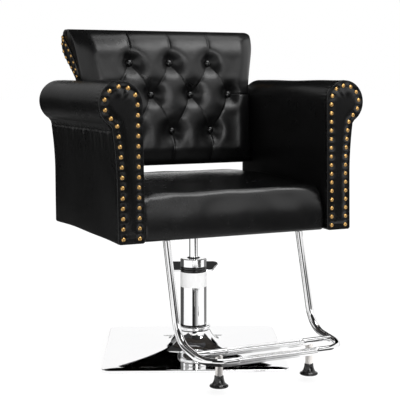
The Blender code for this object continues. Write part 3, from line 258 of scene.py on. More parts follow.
EAR_SLANT_POWER = 1.6
EAR_FULL = 0.8
EAR_FOOT_POWER = 0.4
EAR_TOP_POWER = 10
EAR_SET_IN = 0.006
EAR_POINTS = 160
EAR_RINGS = 24
EAR_ROUND = 0.0045
EAR_LIFT = 0.0012
EAR_RIM = 0.0038
EAR_CROWN = 0.0022
EAR_CROWN_START = 0.008
EAR_CROWN_RUN = 0.015
EAR_DIMPLE = 0.0014
EAR_DIMPLE_WIDTH = 0.006
EAR_NAIL_INSET = 0.55
EAR_NAIL_SIZE = 0.9
EAR_NAIL_LIFT = 0.0038
EAR_SLOPE = BACK_FLARE / FLARE_DROP
SEAM_GAP = 0.0003

# Tufts. Each row of buttons has its height and its count
BUTTON_PITCH = 0.1145
BUTTON_ROWS = ((BACK_TOP - 0.087, 3), (BACK_TOP - 0.171, 4), (BACK_TOP - 0.267, 3))
FOLD_REACH = 0.75 * BUTTON_PITCH
FOLD_FAN = 1.02
BUTTON_DOME = 0.0062
BUTTON_UNDER = 0.004
BUTTON_STEM = 0.006
BUTTON_STEM_SHARE = 0.45
BUTTON_TUCK = 0.9
BUTTON_POLE = 0.0001
PIT_FLAT = 0.004
PIT_RADIUS = 0.021
PIT_POWER = 1.7
VALLEY_DEPTH = 0.0014
VALLEY_WIDTH = 0.014
FOLD_DEPTH = 0.0026
FOLD_WIDTH = 0.0017
FOLD_END = 0.012
LIP_HEIGHT = 0.0010
LIP_RISE = 0.0018
LIP_FALL = 0.005
WRINKLE_HEIGHT = 0.00022
WRINKLE_RADIUS = 0.017
WRINKLE_WIDTH = 0.008

# Base and footrest form
BASE_TURN = math.radians(-24.0)
BASE_SIDE = 0.456
BASE_CORNER = 0.022
BASE_MARGIN = 0.030
BASE_SHEET = 0.002
BASE_EDGE_ROUND = 0.0016
BASE_SHOULDER = 0.010
BASE_FLARE = 0.11
BASE_TOP = 0.0073
BASE_POINTS = 320
BASE_RINGS = 70
NECK_RADIUS = 0.042
NECK_HEIGHT = 0.055
NECK_ROOM = 0.0015
PUMP_RADIUS = 0.034
EDGE_SOFT = 0.0008
BAND_WALL = 0.0027
POLE_RADIUS = 0.0002
FOOT_TUBE = 0.009
LEG_X = TUBE_HIGH[0] - FOOT_TUBE
LEG_TOP = TUBE_HIGH[2]
LEG_SLOPE = math.radians(16.3)
RAIL_Y = -0.2965
RAIL_Z = 0.1045
RAIL_SLOPE = math.radians(7.0)
FRONT_BAR_Y = TUBE_LOW[1] + FOOT_TUBE
CROSS_BAR_Y = (BAR_LOW[1] + BAR_HIGH[1]) / 2
LEG_BEND = 0.074
CORNER_BEND = 0.050
BAR_STEPS = 81
BAR_GAP = 0.002
BAR_HALF = 0.13
FLUTE_FADE = 0.006
FLUTE_SIDES = 96
FLUTES = 16
FOOT_NECK = 0.0105
FOOT_RIM = 0.004
FOOT_SHOULDER = 0.0012
FOOT_SHOULDER_SOFT = 0.0003
BAND_LOW = 0.1685
BAND_HIGH = 0.2075
# Height above the trim ring of the painted shadow line on the pump tube
PAINTED_SHADE_HEIGHT = 0.003

# Copies of solids that get rounded edges: piece, solid, body, and how far the edges are rounded
POLISHED = (
    ("pump_collar", "pump_head", "base", 0.0008),
    ("lever_clevis", "lever_bracket", "base", 0.0006),
    ("lever_bar", "lever_arm", "lever", 0.0012),
    ("pedal", "pedal_plate", "lever", 0.0008))
BARREL_SOFT = 0.0005
WELD_DISTANCE = 1e-5
FLAT_ANGLE = math.radians(0.5)
SHARP_ANGLE = math.radians(35.0)

# Finishes: least and most roughness of the leathers, and how much the plating's smudges add
LEATHER_GLOSS = (0.25, 0.37)
SEAT_GLOSS = (0.2, 0.3)
BUTTON_GLOSS = (0.15, 0.24)
LEATHER_WORN = 1.9
CHROME_SMUDGE = 0.06
BRASS_AGED = (0.82, 0.72, 0.6)
BRASS_TO_BRONZE = (0.66, 0.62, 0.65)
PLY_DARK = (0.012, 0.009, 0.007)
PLY_PALE = (0.035, 0.026, 0.018)
FLOOR_COLOUR = (0.86, 0.86, 0.86)
WHITE = (1.0, 1.0, 1.0)

# Sockets of a Mix node that mixes colours
MIX_FIRST, MIX_SECOND, MIX_RESULT = 6, 7, 2

# The two soft lamps: places across, towards the camera and up, the height they look at, and sizes
TOP_LAMP = ((1.24, 0.55, 2.25), 0.55, (1.2, 0.8))
FRONT_LAMP = ((0.70, 2.0, 0.85), 0.65, (0.9, 0.8))
SENSOR_WIDTH = 36.0
FLOOR_REACH = 30.0
FLOOR_GLOW = 1.06
FLOOR_GLOW_SHARE = 0.80

# Cards that only the reflections see. Each upright one has its brightness below and above, the places of its
# two ends across and towards the camera, and its lower and upper edge
FLOOR_CLEAR = 0.003
WALL_CARDS = (
    ("left_card", 0.02, 0.02, (-2.77, -0.51), (-1.17, -2.57), FLOOR_CLEAR, 0.8),
    ("left_high_card", 0.1, 0.6, (-2.77, -0.51), (-1.17, -2.57), 0.8, 2.6),
    ("right_card", 0.02, 0.02, (1.2, 2.2), (2.7, 0.4), FLOOR_CLEAR, 0.62),
    ("right_glow", 0.02, 1.35, (1.2, 2.2), (2.7, 0.4), 0.62, 1.35),
    ("right_high_glow", 1.35, 1.35, (1.2, 2.2), (2.7, 0.4), 1.35, 2.3),
    ("leg_card_1", 0.12, 0.12, (0.62, 0.95), (1.05, 0.45), 0.25, 0.55),
    ("leg_card_2", 0.35, 0.35, (-0.75, 0.85), (-1.0, 0.2), 0.25, 0.55),
    ("front_card", 0.02, 0.02, (-0.12, 1.0), (0.45, 1.0), 0.30, 0.80),
    ("front_high_card", 0.02, 0.02, (-0.4, 1.0), (0.4, 1.0), 0.95, 1.6),
    ("back_card", 0.0, 0.0, (-3.0, -4.0), (3.0, -4.0), 1.42, 6.0))

# Each card on the floor round the pump has its brightness, the two bearings from the camera's, in degrees,
# that it lies between, and how far it reaches
WEDGE_CARDS = (
    ("stripe_card", 0.02, -10.0, 10.0, 1.3), ("shade_card_1", 0.12, 10.0, 18.0, 1.3),
    ("shade_card_2", 0.30, 18.0, 27.0, 1.3), ("shade_card_3", 0.60, 27.0, 38.0, 1.3),
    ("rear_card_1", 0.22, 105.0, 143.0, 2.6), ("rear_card_2", 0.22, 143.0, 180.0, 2.6),
    ("rear_card_3", 0.25, 180.0, 207.0, 2.6), ("rear_card_4", 0.08, 207.0, 235.0, 2.6),
    ("rear_card_5", 0.08, 235.0, 268.0, 2.6))
WEDGE_START = 0.27

# Each other level card has its brightness, two opposite corners across and towards the camera, and its height
LEVEL_CARDS = (
    ("ceiling_card", 0.03, (-2.5, 3.0), (2.5, -4.0), 2.8),
    ("ceiling_glow", 2.2, (0.3, 0.3), (1.7, -1.3), 2.7),
    ("seat_glow", 9.0, (0.2, 1.05), (0.85, 0.5), 2.3),
    ("right_floor_card", 0.03, (0.85, 1.8), (2.3, 0.45), FLOOR_CLEAR))

# Pieces that the light of a lamp or a glowing card is kept off
FOOTREST_BARS = ("footrest_frame", "footrest_step")
ARM_PANELS = ("arm_face_left", "arm_face_right")
KEPT_OFF = (
    ("top_lamp", FOOTREST_BARS),
    ("front_lamp", FOOTREST_BARS + ARM_PANELS),
    ("seat_glow", FOOTREST_BARS + ("back_pad",)))


class UpholsterySettings(bpy.types.PropertyGroup):
    """Sizes and colour of the leather, its tufts and its nailheads."""

    leather_colour: FloatVectorProperty(
        name="Leather Colour", description="Colour of the leather", subtype="COLOR", size=3, min=0.0, max=1.0,
        default=(0.0018, 0.0018, 0.0019))
    grain_size: FloatProperty(
        name="Grain Size", description="Width of one pebble of the grain", unit="LENGTH", default=0.0022)
    tuft_depth: FloatProperty(
        name="Tuft Depth", description="How far the pad swells in front of its buttons", unit="LENGTH",
        default=0.0215)
    button_radius: FloatProperty(
        name="Button Radius", description="Radius of a tuft button", unit="LENGTH", default=0.0098)
    nail_radius: FloatProperty(
        name="Nail Radius", description="Radius of a brass nailhead", unit="LENGTH", default=0.0054)
    nail_height: FloatProperty(
        name="Nail Height", description="Height of a nailhead's dome", unit="LENGTH", default=0.0033)
    nail_inset: FloatProperty(
        name="Nail Inset", description="Distance of the nails from a panel's edge", unit="LENGTH",
        default=0.0130)
    left_nails: IntProperty(
        name="Left Nails", description="Nails round the left arm's front", default=33, min=2)
    right_nails: IntProperty(
        name="Right Nails", description="Nails round the right arm's front", default=36, min=2)
    ear_nails: IntProperty(
        name="Ear Nails", description="Nails round each side panel of the back", default=14, min=3)
    brass_colour: FloatVectorProperty(
        name="Brass Colour", description="Colour of the nailheads", subtype="COLOR", size=3, min=0.0, max=1.0,
        default=(0.66, 0.42, 0.16))


class MetalSettings(bpy.types.PropertyGroup):
    """Colours and sizes of the chrome, steel and plastic."""

    chrome_colour: FloatVectorProperty(
        name="Chrome Colour", description="Colour of the plating", subtype="COLOR", size=3, min=0.0, max=1.0,
        default=(0.95, 0.95, 0.955))
    chrome_roughness: FloatProperty(
        name="Chrome Roughness", description="Least roughness of the plating", subtype="FACTOR", default=0.03,
        min=0.0, max=1.0)
    band_colour: FloatVectorProperty(
        name="Band Colour", description="Colour of the plain band round the pump", subtype="COLOR", size=3,
        min=0.0, max=1.0, default=(0.9, 0.9, 0.9))
    band_roughness: FloatProperty(
        name="Band Roughness", description="Roughness of the plain band", subtype="FACTOR", default=0.35,
        min=0.0, max=1.0)
    satin_colour: FloatVectorProperty(
        name="Satin Colour", description="Colour of the feet's posts", subtype="COLOR", size=3, min=0.0,
        max=1.0, default=(0.93, 0.90, 0.87))
    steel_colour: FloatVectorProperty(
        name="Steel Colour", description="Colour of the dark steel", subtype="COLOR", size=3, min=0.0,
        max=1.0, default=(0.10, 0.10, 0.105))
    plastic_colour: FloatVectorProperty(
        name="Plastic Colour", description="Colour of the black plastic", subtype="COLOR", size=3, min=0.0,
        max=1.0, default=(0.008, 0.008, 0.008))
    flute_depth: FloatProperty(
        name="Flute Depth", description="Depth of the grip lines on the footrest", unit="LENGTH",
        default=0.0008)
    flute_half: FloatProperty(
        name="Flute Reach", description="Half length of the grip lines", unit="LENGTH", default=0.104)


class StudioSettings(bpy.types.PropertyGroup):
    """The camera, the lamps and the light from all round."""

    azimuth: FloatProperty(
        name="Azimuth", description="Camera's turn about the chair", subtype="ANGLE",
        default=math.radians(-25.76))
    elevation: FloatProperty(
        name="Elevation", description="Camera's height above the horizon", subtype="ANGLE",
        default=math.radians(6.55))
    distance: FloatProperty(
        name="Distance", description="From the camera to the chair", unit="LENGTH", default=2.751)
    aim_height: FloatProperty(
        name="Aim Height", description="Height of the point looked at", unit="LENGTH", default=0.3936)
    aim_side: FloatProperty(
        name="Aim Side", description="Sideways shift of the point looked at", unit="LENGTH", default=0.017)
    lens: FloatProperty(
        name="Lens", description="Focal length in millimetres", unit="CAMERA", default=95.96)
    top_power: FloatProperty(
        name="Top Lamp", description="Power of the soft lamp overhead", unit="POWER", default=19.0)
    front_power: FloatProperty(
        name="Front Lamp", description="Power of the soft lamp in front", unit="POWER", default=15.0)
    sky_strength: FloatProperty(
        name="Sky", description="Strength of the even light from all round", default=1.2, min=0.0)


class ChairSettings(bpy.types.PropertyGroup):
    """All settings of the chair's looks."""

    upholstery: PointerProperty(
        name="Upholstery", description="Leather, tufts and nailheads", type=UpholsterySettings)
    metal: PointerProperty(name="Metal", description="Chrome, steel and plastic", type=MetalSettings)
    studio: PointerProperty(name="Studio", description="Camera and lamps", type=StudioSettings)


# Meshes from arrays


def turned_outwards(points, faces):
    """The faces, turned round if the volume they close, a sum of tetrahedra, comes out negative."""
    volume = 0.0
    for face in faces:
        for corner in range(1, face.shape[1] - 1):
            spin = np.cross(points[face[:, corner]], points[face[:, corner + 1]])
            volume += np.einsum("ij,ij->", points[face[:, 0]], spin)
    return faces if volume > 0 else [face[:, ::-1] for face in faces]


def new_piece(name, points, faces, closed=True, sharp=50.0):
    """An object at the origin from an array of points and arrays of triangles or quads."""
    if closed:
        faces = turned_outwards(points, faces)
    mesh = bpy.data.meshes.new(name)
    mesh.from_pydata(points.tolist(), [], [loop for face in faces for loop in face.tolist()])
    if mesh.validate():
        raise RuntimeError(f"{name} has broken faces")
    mesh.shade_smooth()
    mesh.set_sharp_from_angle(angle=math.radians(sharp))
    piece = bpy.data.objects.new(name, mesh)
    bpy.context.scene.collection.objects.link(piece)
    return piece


def skin(rows, columns, wrap=True):
    """Quads of a grid of rows by columns, which closes on itself across the columns if it wraps."""
    first = np.arange(rows - 1)[:, None] * columns
    here = np.arange(columns if wrap else columns - 1)[None, :]
    after = (here + 1) % columns
    quads = np.stack([first + here, first + after, first + columns + after, first + columns + here], -1)
    return quads.reshape(-1, 4)


def ladder(start, count, last=True):
    """Quads across a closed ring of an even count, from rungs that join its n-th to its n-th last point."""
    low = np.arange(count // 2 - 1)
    quads = np.stack([low, low + 1, count - 2 - low, count - 1 - low], -1) + start
    return quads if last else quads[:, ::-1]


def loft(name, rings, **options):
    """A closed body: a skin through an array of closed rings, with a ladder across each end."""
    count, size = rings.shape[:2]
    faces = [skin(count, size), ladder(0, size, last=False), ladder((count - 1) * size, size)]
    return new_piece(name, rings.reshape(-1, 3), faces, **options)


def turned(name, profile, centre=(0.0, 0.0), steps=96, wrap=False, **options):
    """A profile of (radius, height) rows spun about an upright line, which its ends reach unless it wraps."""
    profile = np.asarray(profile, float)
    angle = np.linspace(0, 2 * np.pi, steps, endpoint=False)[None, :]
    ring = np.stack(np.broadcast_arrays(
        centre[0] + profile[:, :1] * np.cos(angle),
        centre[1] + profile[:, :1] * np.sin(angle), profile[:, 1:]), -1)
    if wrap:
        ring = np.concatenate([ring, ring[:1]])
        piece = new_piece(name, ring.reshape(-1, 3), [skin(len(ring), steps)], **options)
        merge(piece.data)
        return piece
    points = ring.reshape(-1, 3)
    faces = [skin(len(profile), steps)]
    around = np.arange(steps)
    for row, flip in ((0, False), (len(profile) - 1, True)):
        pole = np.array([[centre[0], centre[1], profile[row, 1]]])
        here, after = around + row * steps, (around + 1) % steps + row * steps
        spokes = np.stack([here, np.full(steps, len(points)), after], -1)
        faces.append(spokes[:, ::-1] if flip else spokes)
        points = np.concatenate([points, pole])
    return new_piece(name, points, faces, **options)


def merge(mesh, distance=1e-6):
    """Weld a mesh's doubled points."""
    shape = bmesh.new()
    shape.from_mesh(mesh)
    bmesh.ops.remove_doubles(shape, verts=shape.verts, dist=distance)
    shape.to_mesh(mesh)
    shape.free()


def polished_copy(name, node, width, segments=2):
    """A copy of a solid with its points welded, flat faces joined and edges rounded."""
    shape = bmesh.new()
    shape.from_mesh(NODES[node].data)
    bmesh.ops.remove_doubles(shape, verts=shape.verts, dist=WELD_DISTANCE)
    bmesh.ops.dissolve_limit(shape, angle_limit=FLAT_ANGLE, verts=shape.verts, edges=shape.edges)
    mesh = bpy.data.meshes.new(name)
    shape.to_mesh(mesh)
    shape.free()
    if "custom_normal" in mesh.attributes:
        mesh.attributes.remove(mesh.attributes["custom_normal"])
    mesh.materials.clear()
    mesh.shade_smooth()
    mesh.set_sharp_from_angle(angle=SHARP_ANGLE)
    piece = bpy.data.objects.new(name, mesh)
    bpy.context.scene.collection.objects.link(piece)
    edge = piece.modifiers.new("edge", "BEVEL")
    edge.width = width
    edge.segments = segments
    edge.limit_method = "ANGLE"
    edge.angle_limit = SHARP_ANGLE
    edge.harden_normals = True
    return piece


def dress(piece, material, body, slot, *nodes, fill=None):
    """Give a finished piece its material and its body, and hide the solids it stands for. The slot is not
    used.
    """
    piece.data.materials.clear()
    piece.data.materials.append(material)
    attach(piece, body)
    if nodes:
        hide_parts(*nodes)
    return piece


def soft_step(value):
    """A smooth rise from 0 to 1."""
    share = np.clip(value, 0.0, 1.0)
    return share * share * (3 - 2 * share)


def quarter_circle(value):
    """A rise from 0 to 1 along a quarter circle, steep at first and level at its end."""
    share = np.clip(value, 0.0, 1.0)
    return np.sqrt(np.clip(1 - (1 - share) ** 2, 0.0, 1.0))


def bump(value, width):
    """A bell curve of height 1."""
    return np.exp(-(value / width) ** 2)


def arc_line(centre, radius, start, end, count):
    """Points on an arc in a plane."""
    angle = np.linspace(start, end, count)
    return np.column_stack([centre[0] + radius * np.cos(angle), centre[1] + radius * np.sin(angle)])


def even(line, count):
    """Points evenly spaced along a closed line."""
    loop = np.vstack([line, line[:1]])
    along = np.concatenate([[0.0], np.cumsum(np.hypot(*np.diff(loop, axis=0).T))])
    at = np.linspace(0.0, along[-1], count, endpoint=False)
    return np.column_stack([np.interp(at, along, loop[:, 0]), np.interp(at, along, loop[:, 1])])


def outward(line):
    """Unit normals of a closed line in a plane, which point away from its inside."""
    tangent = np.roll(line, -1, 0) - np.roll(line, 1, 0)
    following = np.roll(line, -1, 0)
    area = np.sum(line[:, 0] * following[:, 1] - following[:, 0] * line[:, 1])
    normal = np.column_stack([tangent[:, 1], -tangent[:, 0]]) * np.sign(area)
    return normal / np.linalg.norm(normal, axis=1, keepdims=True)


def nearest(points, others):
    """Distance from each point in a plane to the nearest of some others."""
    gap = points[:, None, :] - others[None, :, :]
    return np.sqrt((gap ** 2).sum(-1)).min(1)


# Materials


def add_node(tree, kind, values=(), **settings):
    """A shader node with some of its inputs set or linked."""
    node = tree.nodes.new(kind)
    for key, value in settings.items():
        setattr(node, key, value)
    for key, value in values:
        if isinstance(value, bpy.types.NodeSocket):
            tree.links.new(value, node.inputs[key])
        else:
            node.inputs[key].default_value = value
    return node


def new_group(name, inputs, outputs):
    """A shader group with named sockets, its tree and its inner ends."""
    tree = bpy.data.node_groups.new(name, "ShaderNodeTree")
    for label, kind in inputs:
        tree.interface.new_socket(label, in_out="INPUT", socket_type=kind)
    for label, kind in outputs:
        tree.interface.new_socket(label, in_out="OUTPUT", socket_type=kind)
    return tree, tree.nodes.new("NodeGroupInput"), tree.nodes.new("NodeGroupOutput")


def spread(tree, value, low, high, start=0.0, end=1.0):
    """A value between two ends, mapped onto the range from low to high."""
    node = add_node(tree, "ShaderNodeMapRange", (
        ("Value", value), ("From Min", start), ("From Max", end), ("To Min", low), ("To Max", high)))
    return node.outputs[0]


def worked_out(tree, operation, first, second):
    """A sum, a product or a comparison of two values."""
    return add_node(tree, "ShaderNodeMath", ((0, first), (1, second)), operation=operation).outputs[0]


def times(tree, first, second):
    """The product of two values."""
    return worked_out(tree, "MULTIPLY", first, second)


def plus(tree, first, second):
    """The sum of two values."""
    return worked_out(tree, "ADD", first, second)


def mixed(tree, share, first, second):
    """A colour between two others."""
    node = add_node(tree, "ShaderNodeMix", (
        ("Factor", share), (MIX_FIRST, first), (MIX_SECOND, second)), data_type="RGBA")
    return node.outputs[MIX_RESULT]


def noise(tree, vector, scale, detail=3.0, roughness=0.5):
    """A noise value over a vector."""
    node = add_node(tree, "ShaderNodeTexNoise", (
        ("Vector", vector), ("Scale", scale), ("Detail", detail), ("Roughness", roughness)))
    return node.outputs[0]


def grain_group():
    """Leather grain: rounded pebbles between fine valleys, with slow changes of colour and gloss."""
    number, colour = "NodeSocketFloat", "NodeSocketColor"
    tree, given, made = new_group(
        "leather_grain",
        (("Vector", "NodeSocketVector"), ("Scale", number), ("Colour", colour), ("Worn Colour", colour),
         ("Gloss Low", number), ("Gloss High", number)),
        (("Colour", colour), ("Roughness", number), ("Height", number)))
    vector, scale = given.outputs["Vector"], given.outputs["Scale"]
    warp = add_node(tree, "ShaderNodeTexNoise", (("Vector", vector), ("Scale", 140.0), ("Detail", 2.0)))
    shift = add_node(tree, "ShaderNodeVectorMath", (
        (0, warp.outputs["Color"]), ("Scale", 0.0012)), operation="SCALE")
    moved = add_node(tree, "ShaderNodeVectorMath", (
        (0, vector), (1, shift.outputs[0])), operation="ADD").outputs[0]
    cells = add_node(tree, "ShaderNodeTexVoronoi", (
        ("Vector", moved), ("Scale", scale)), feature="DISTANCE_TO_EDGE")
    pebble = add_node(tree, "ShaderNodeMapRange", (
        ("Value", cells.outputs[0]), ("From Max", 0.35)), interpolation_type="SMOOTHSTEP").outputs[0]
    pores = noise(tree, moved, 900.0, 2.0)
    slow = noise(tree, vector, 9.0, 4.0, 0.55)
    fine = noise(tree, vector, 60.0, 3.0)
    height = plus(tree, times(tree, pebble, 0.75), times(tree, pores, 0.25))
    tree.links.new(height, made.inputs["Height"])
    wear = times(tree, spread(tree, slow, 0.0, 0.9), spread(tree, pebble, 0.55, 1.0))
    worn = mixed(tree, wear, given.outputs["Colour"], given.outputs["Worn Colour"])
    tree.links.new(worn, made.inputs["Colour"])
    gloss = plus(tree, times(tree, slow, 0.6), times(tree, fine, 0.4))
    rough = spread(tree, gloss, given.outputs["Gloss Low"], given.outputs["Gloss High"], 0.3, 0.7)
    tree.links.new(rough, made.inputs["Roughness"])
    return tree


def marks_group():
    """Handling marks on a hard finish: soft smudges and fine hairlines, as roughness and height."""
    number, vector = "NodeSocketFloat", "NodeSocketVector"
    tree, given, made = new_group(
        "handling_marks",
        (("Vector", vector), ("Least", number), ("Most", number), ("Hairlines", vector)),
        (("Roughness", number), ("Height", number), ("Mask", number)))
    place = given.outputs["Vector"]
    smudge = noise(tree, place, 14.0, 5.0, 0.6)
    lines = add_node(tree, "ShaderNodeVectorMath", (
        (0, place), (1, given.outputs["Hairlines"])), operation="MULTIPLY")
    hair = noise(tree, lines.outputs[0], 1.0, 2.0)
    both = plus(tree, times(tree, smudge, 0.65), times(tree, hair, 0.35))
    rough = spread(tree, both, given.outputs["Least"], given.outputs["Most"], 0.38, 0.68)
    tree.links.new(rough, made.inputs["Roughness"])
    tree.links.new(hair, made.inputs["Height"])
    tree.links.new(smudge, made.inputs["Mask"])
    return tree


def shared_group(name, maker):
    """A shader group that is made once."""
    return bpy.data.node_groups.get(name) or maker()


def new_material(name, **constants):
    """A Principled material with constants on its sockets, its tree, its shader and Object coordinates."""
    material = bpy.data.materials.new(name)
    material.use_nodes = True
    tree = material.node_tree
    shader = tree.nodes["Principled BSDF"]
    for label, value in constants.items():
        shader.inputs[label.replace("_", " ")].default_value = value
    place = tree.nodes.new("ShaderNodeTexCoord").outputs["Object"]
    return material, tree, shader, place


def bumped(tree, shader, height, strength, distance):
    """A bump node between a height and a shader's normal."""
    node = add_node(tree, "ShaderNodeBump", (
        ("Height", height), ("Strength", strength), ("Distance", distance)))
    tree.links.new(node.outputs[0], shader.inputs["Normal"])


def rgba(colour):
    """A colour with full alpha."""
    return (*colour, 1.0)


def leather(settings, name="black_leather_grain", gloss=LEATHER_GLOSS):
    """Black semi-gloss leather with a pebbled grain."""
    found = bpy.data.materials.get(name)
    if found:
        return found
    material, tree, shader, place = new_material(name, IOR=1.45, Specular_IOR_Level=0.5)
    group = add_node(tree, "ShaderNodeGroup", node_tree=shared_group("leather_grain", grain_group))
    colour = np.array(settings.leather_colour)
    for label, value in (
            ("Scale", 1 / settings.grain_size), ("Colour", rgba(colour)),
            ("Worn Colour", rgba(colour * LEATHER_WORN)), ("Gloss Low", gloss[0]), ("Gloss High", gloss[1])):
        group.inputs[label].default_value = value
    tree.links.new(place, group.inputs["Vector"])
    tree.links.new(group.outputs["Colour"], shader.inputs["Base Color"])
    tree.links.new(group.outputs["Roughness"], shader.inputs["Roughness"])
    bumped(tree, shader, group.outputs["Height"], strength=0.16, distance=0.0004)
    return material


def marked_metal(name, colour, least, most, metallic=1.0, hairlines=(40.0, 40.0, 900.0), strength=0.0):
    """A hard finish with smudges and hairlines in its gloss."""
    found = bpy.data.materials.get(name)
    if found:
        return found
    material, tree, shader, place = new_material(name, Metallic=metallic)
    shader.inputs["Base Color"].default_value = rgba(colour)
    group = add_node(tree, "ShaderNodeGroup", node_tree=shared_group("handling_marks", marks_group))
    for label, value in (("Least", least), ("Most", most), ("Hairlines", hairlines)):
        group.inputs[label].default_value = value
    tree.links.new(place, group.inputs["Vector"])
    tree.links.new(group.outputs["Roughness"], shader.inputs["Roughness"])
    if strength:
        bumped(tree, shader, group.outputs["Height"], strength, distance=0.0002)
    return material


def marks_of(material):
    """The tree, the shader and the group node of a marked finish."""
    tree = material.node_tree
    return tree, tree.nodes["Principled BSDF"], next(node for node in tree.nodes if node.type == "GROUP")


def chrome(settings, name="mirror_chrome"):
    """Mirror chrome plating."""
    low = settings.chrome_roughness
    return marked_metal(name, settings.chrome_colour, low, low + CHROME_SMUDGE)


def banded_chrome(settings):
    """Chrome with a plain satin white band between two heights and a painted shadow line above the trim ring.
    """
    material = chrome(settings, "banded_chrome")
    tree, shader, group = marks_of(material)
    place = add_node(tree, "ShaderNodeTexCoord")
    height = add_node(tree, "ShaderNodeSeparateXYZ", ((0, place.outputs["Object"]),)).outputs["Z"]
    above = worked_out(tree, "GREATER_THAN", height, BAND_LOW)
    below = worked_out(tree, "LESS_THAN", height, BAND_HIGH)
    inside = times(tree, above, below)
    # Painted shade: a thin band in the black plastic's colour just above the trim ring stands in for the
    # shadow in the gap
    shade = worked_out(tree, "LESS_THAN", height, TRIM_HIGH[2] + PAINTED_SHADE_HEIGHT)
    colour = mixed(tree, inside, rgba(settings.chrome_colour), rgba(settings.band_colour))
    colour = mixed(tree, shade, colour, rgba(settings.plastic_colour))
    gloss = spread(tree, inside, group.outputs["Roughness"], settings.band_roughness)
    tree.links.new(colour, shader.inputs["Base Color"])
    tree.links.new(gloss, shader.inputs["Roughness"])
    tree.links.new(worked_out(tree, "SUBTRACT", 1.0, inside), shader.inputs["Metallic"])
    return material


def satin_steel(settings):
    """Pale satin steel."""
    return marked_metal("satin_steel", settings.satin_colour, 0.3, 0.42)


def dark_steel(settings):
    """Dark brushed steel."""
    return marked_metal("dark_brushed_steel", settings.steel_colour, 0.36, 0.55, 0.9, strength=0.15)


def black_plastic(settings):
    """Glossy moulded plastic."""
    return marked_metal("gloss_black_plastic", settings.plastic_colour, 0.12, 0.24, 0.0, (90.0,) * 3, 0.05)


def black_rubber(settings):
    """Dull rubber."""
    return marked_metal("dull_black_rubber", settings.plastic_colour, 0.5, 0.7, 0.0, (700.0,) * 3, 0.3)


def brass(settings):
    """Polished brass with darker lacquer where it has aged."""
    found = bpy.data.materials.get("aged_brass")
    if found:
        return found
    material = marked_metal("aged_brass", settings.brass_colour, 0.24, 0.36)
    tree, shader, group = marks_of(material)
    bright = np.array(settings.brass_colour)
    colour = mixed(tree, group.outputs["Mask"], rgba(bright), rgba(bright * BRASS_AGED))
    tree.links.new(colour, shader.inputs["Base Color"])
    return material


def bronze(settings):
    """Bearing bronze with a fine turned finish."""
    colour = np.array(settings.brass_colour) * BRASS_TO_BRONZE
    return marked_metal("bearing_bronze", colour, 0.28, 0.42, 1.0, strength=0.1)


def plywood():
    """Plywood stained nearly black, with its long grain."""
    found = bpy.data.materials.get("stained_plywood")
    if found:
        return found
    material, tree, shader, place = new_material("stained_plywood", Roughness=0.7)
    stretch = add_node(tree, "ShaderNodeMapping", (("Vector", place), ("Scale", (6.0, 90.0, 400.0))))
    grain = noise(tree, stretch.outputs[0], 1.0, 5.0, 0.6)
    tree.links.new(mixed(tree, grain, rgba(PLY_DARK), rgba(PLY_PALE)), shader.inputs["Base Color"])
    bumped(tree, shader, grain, strength=0.2, distance=0.0005)
    return material


# Seat


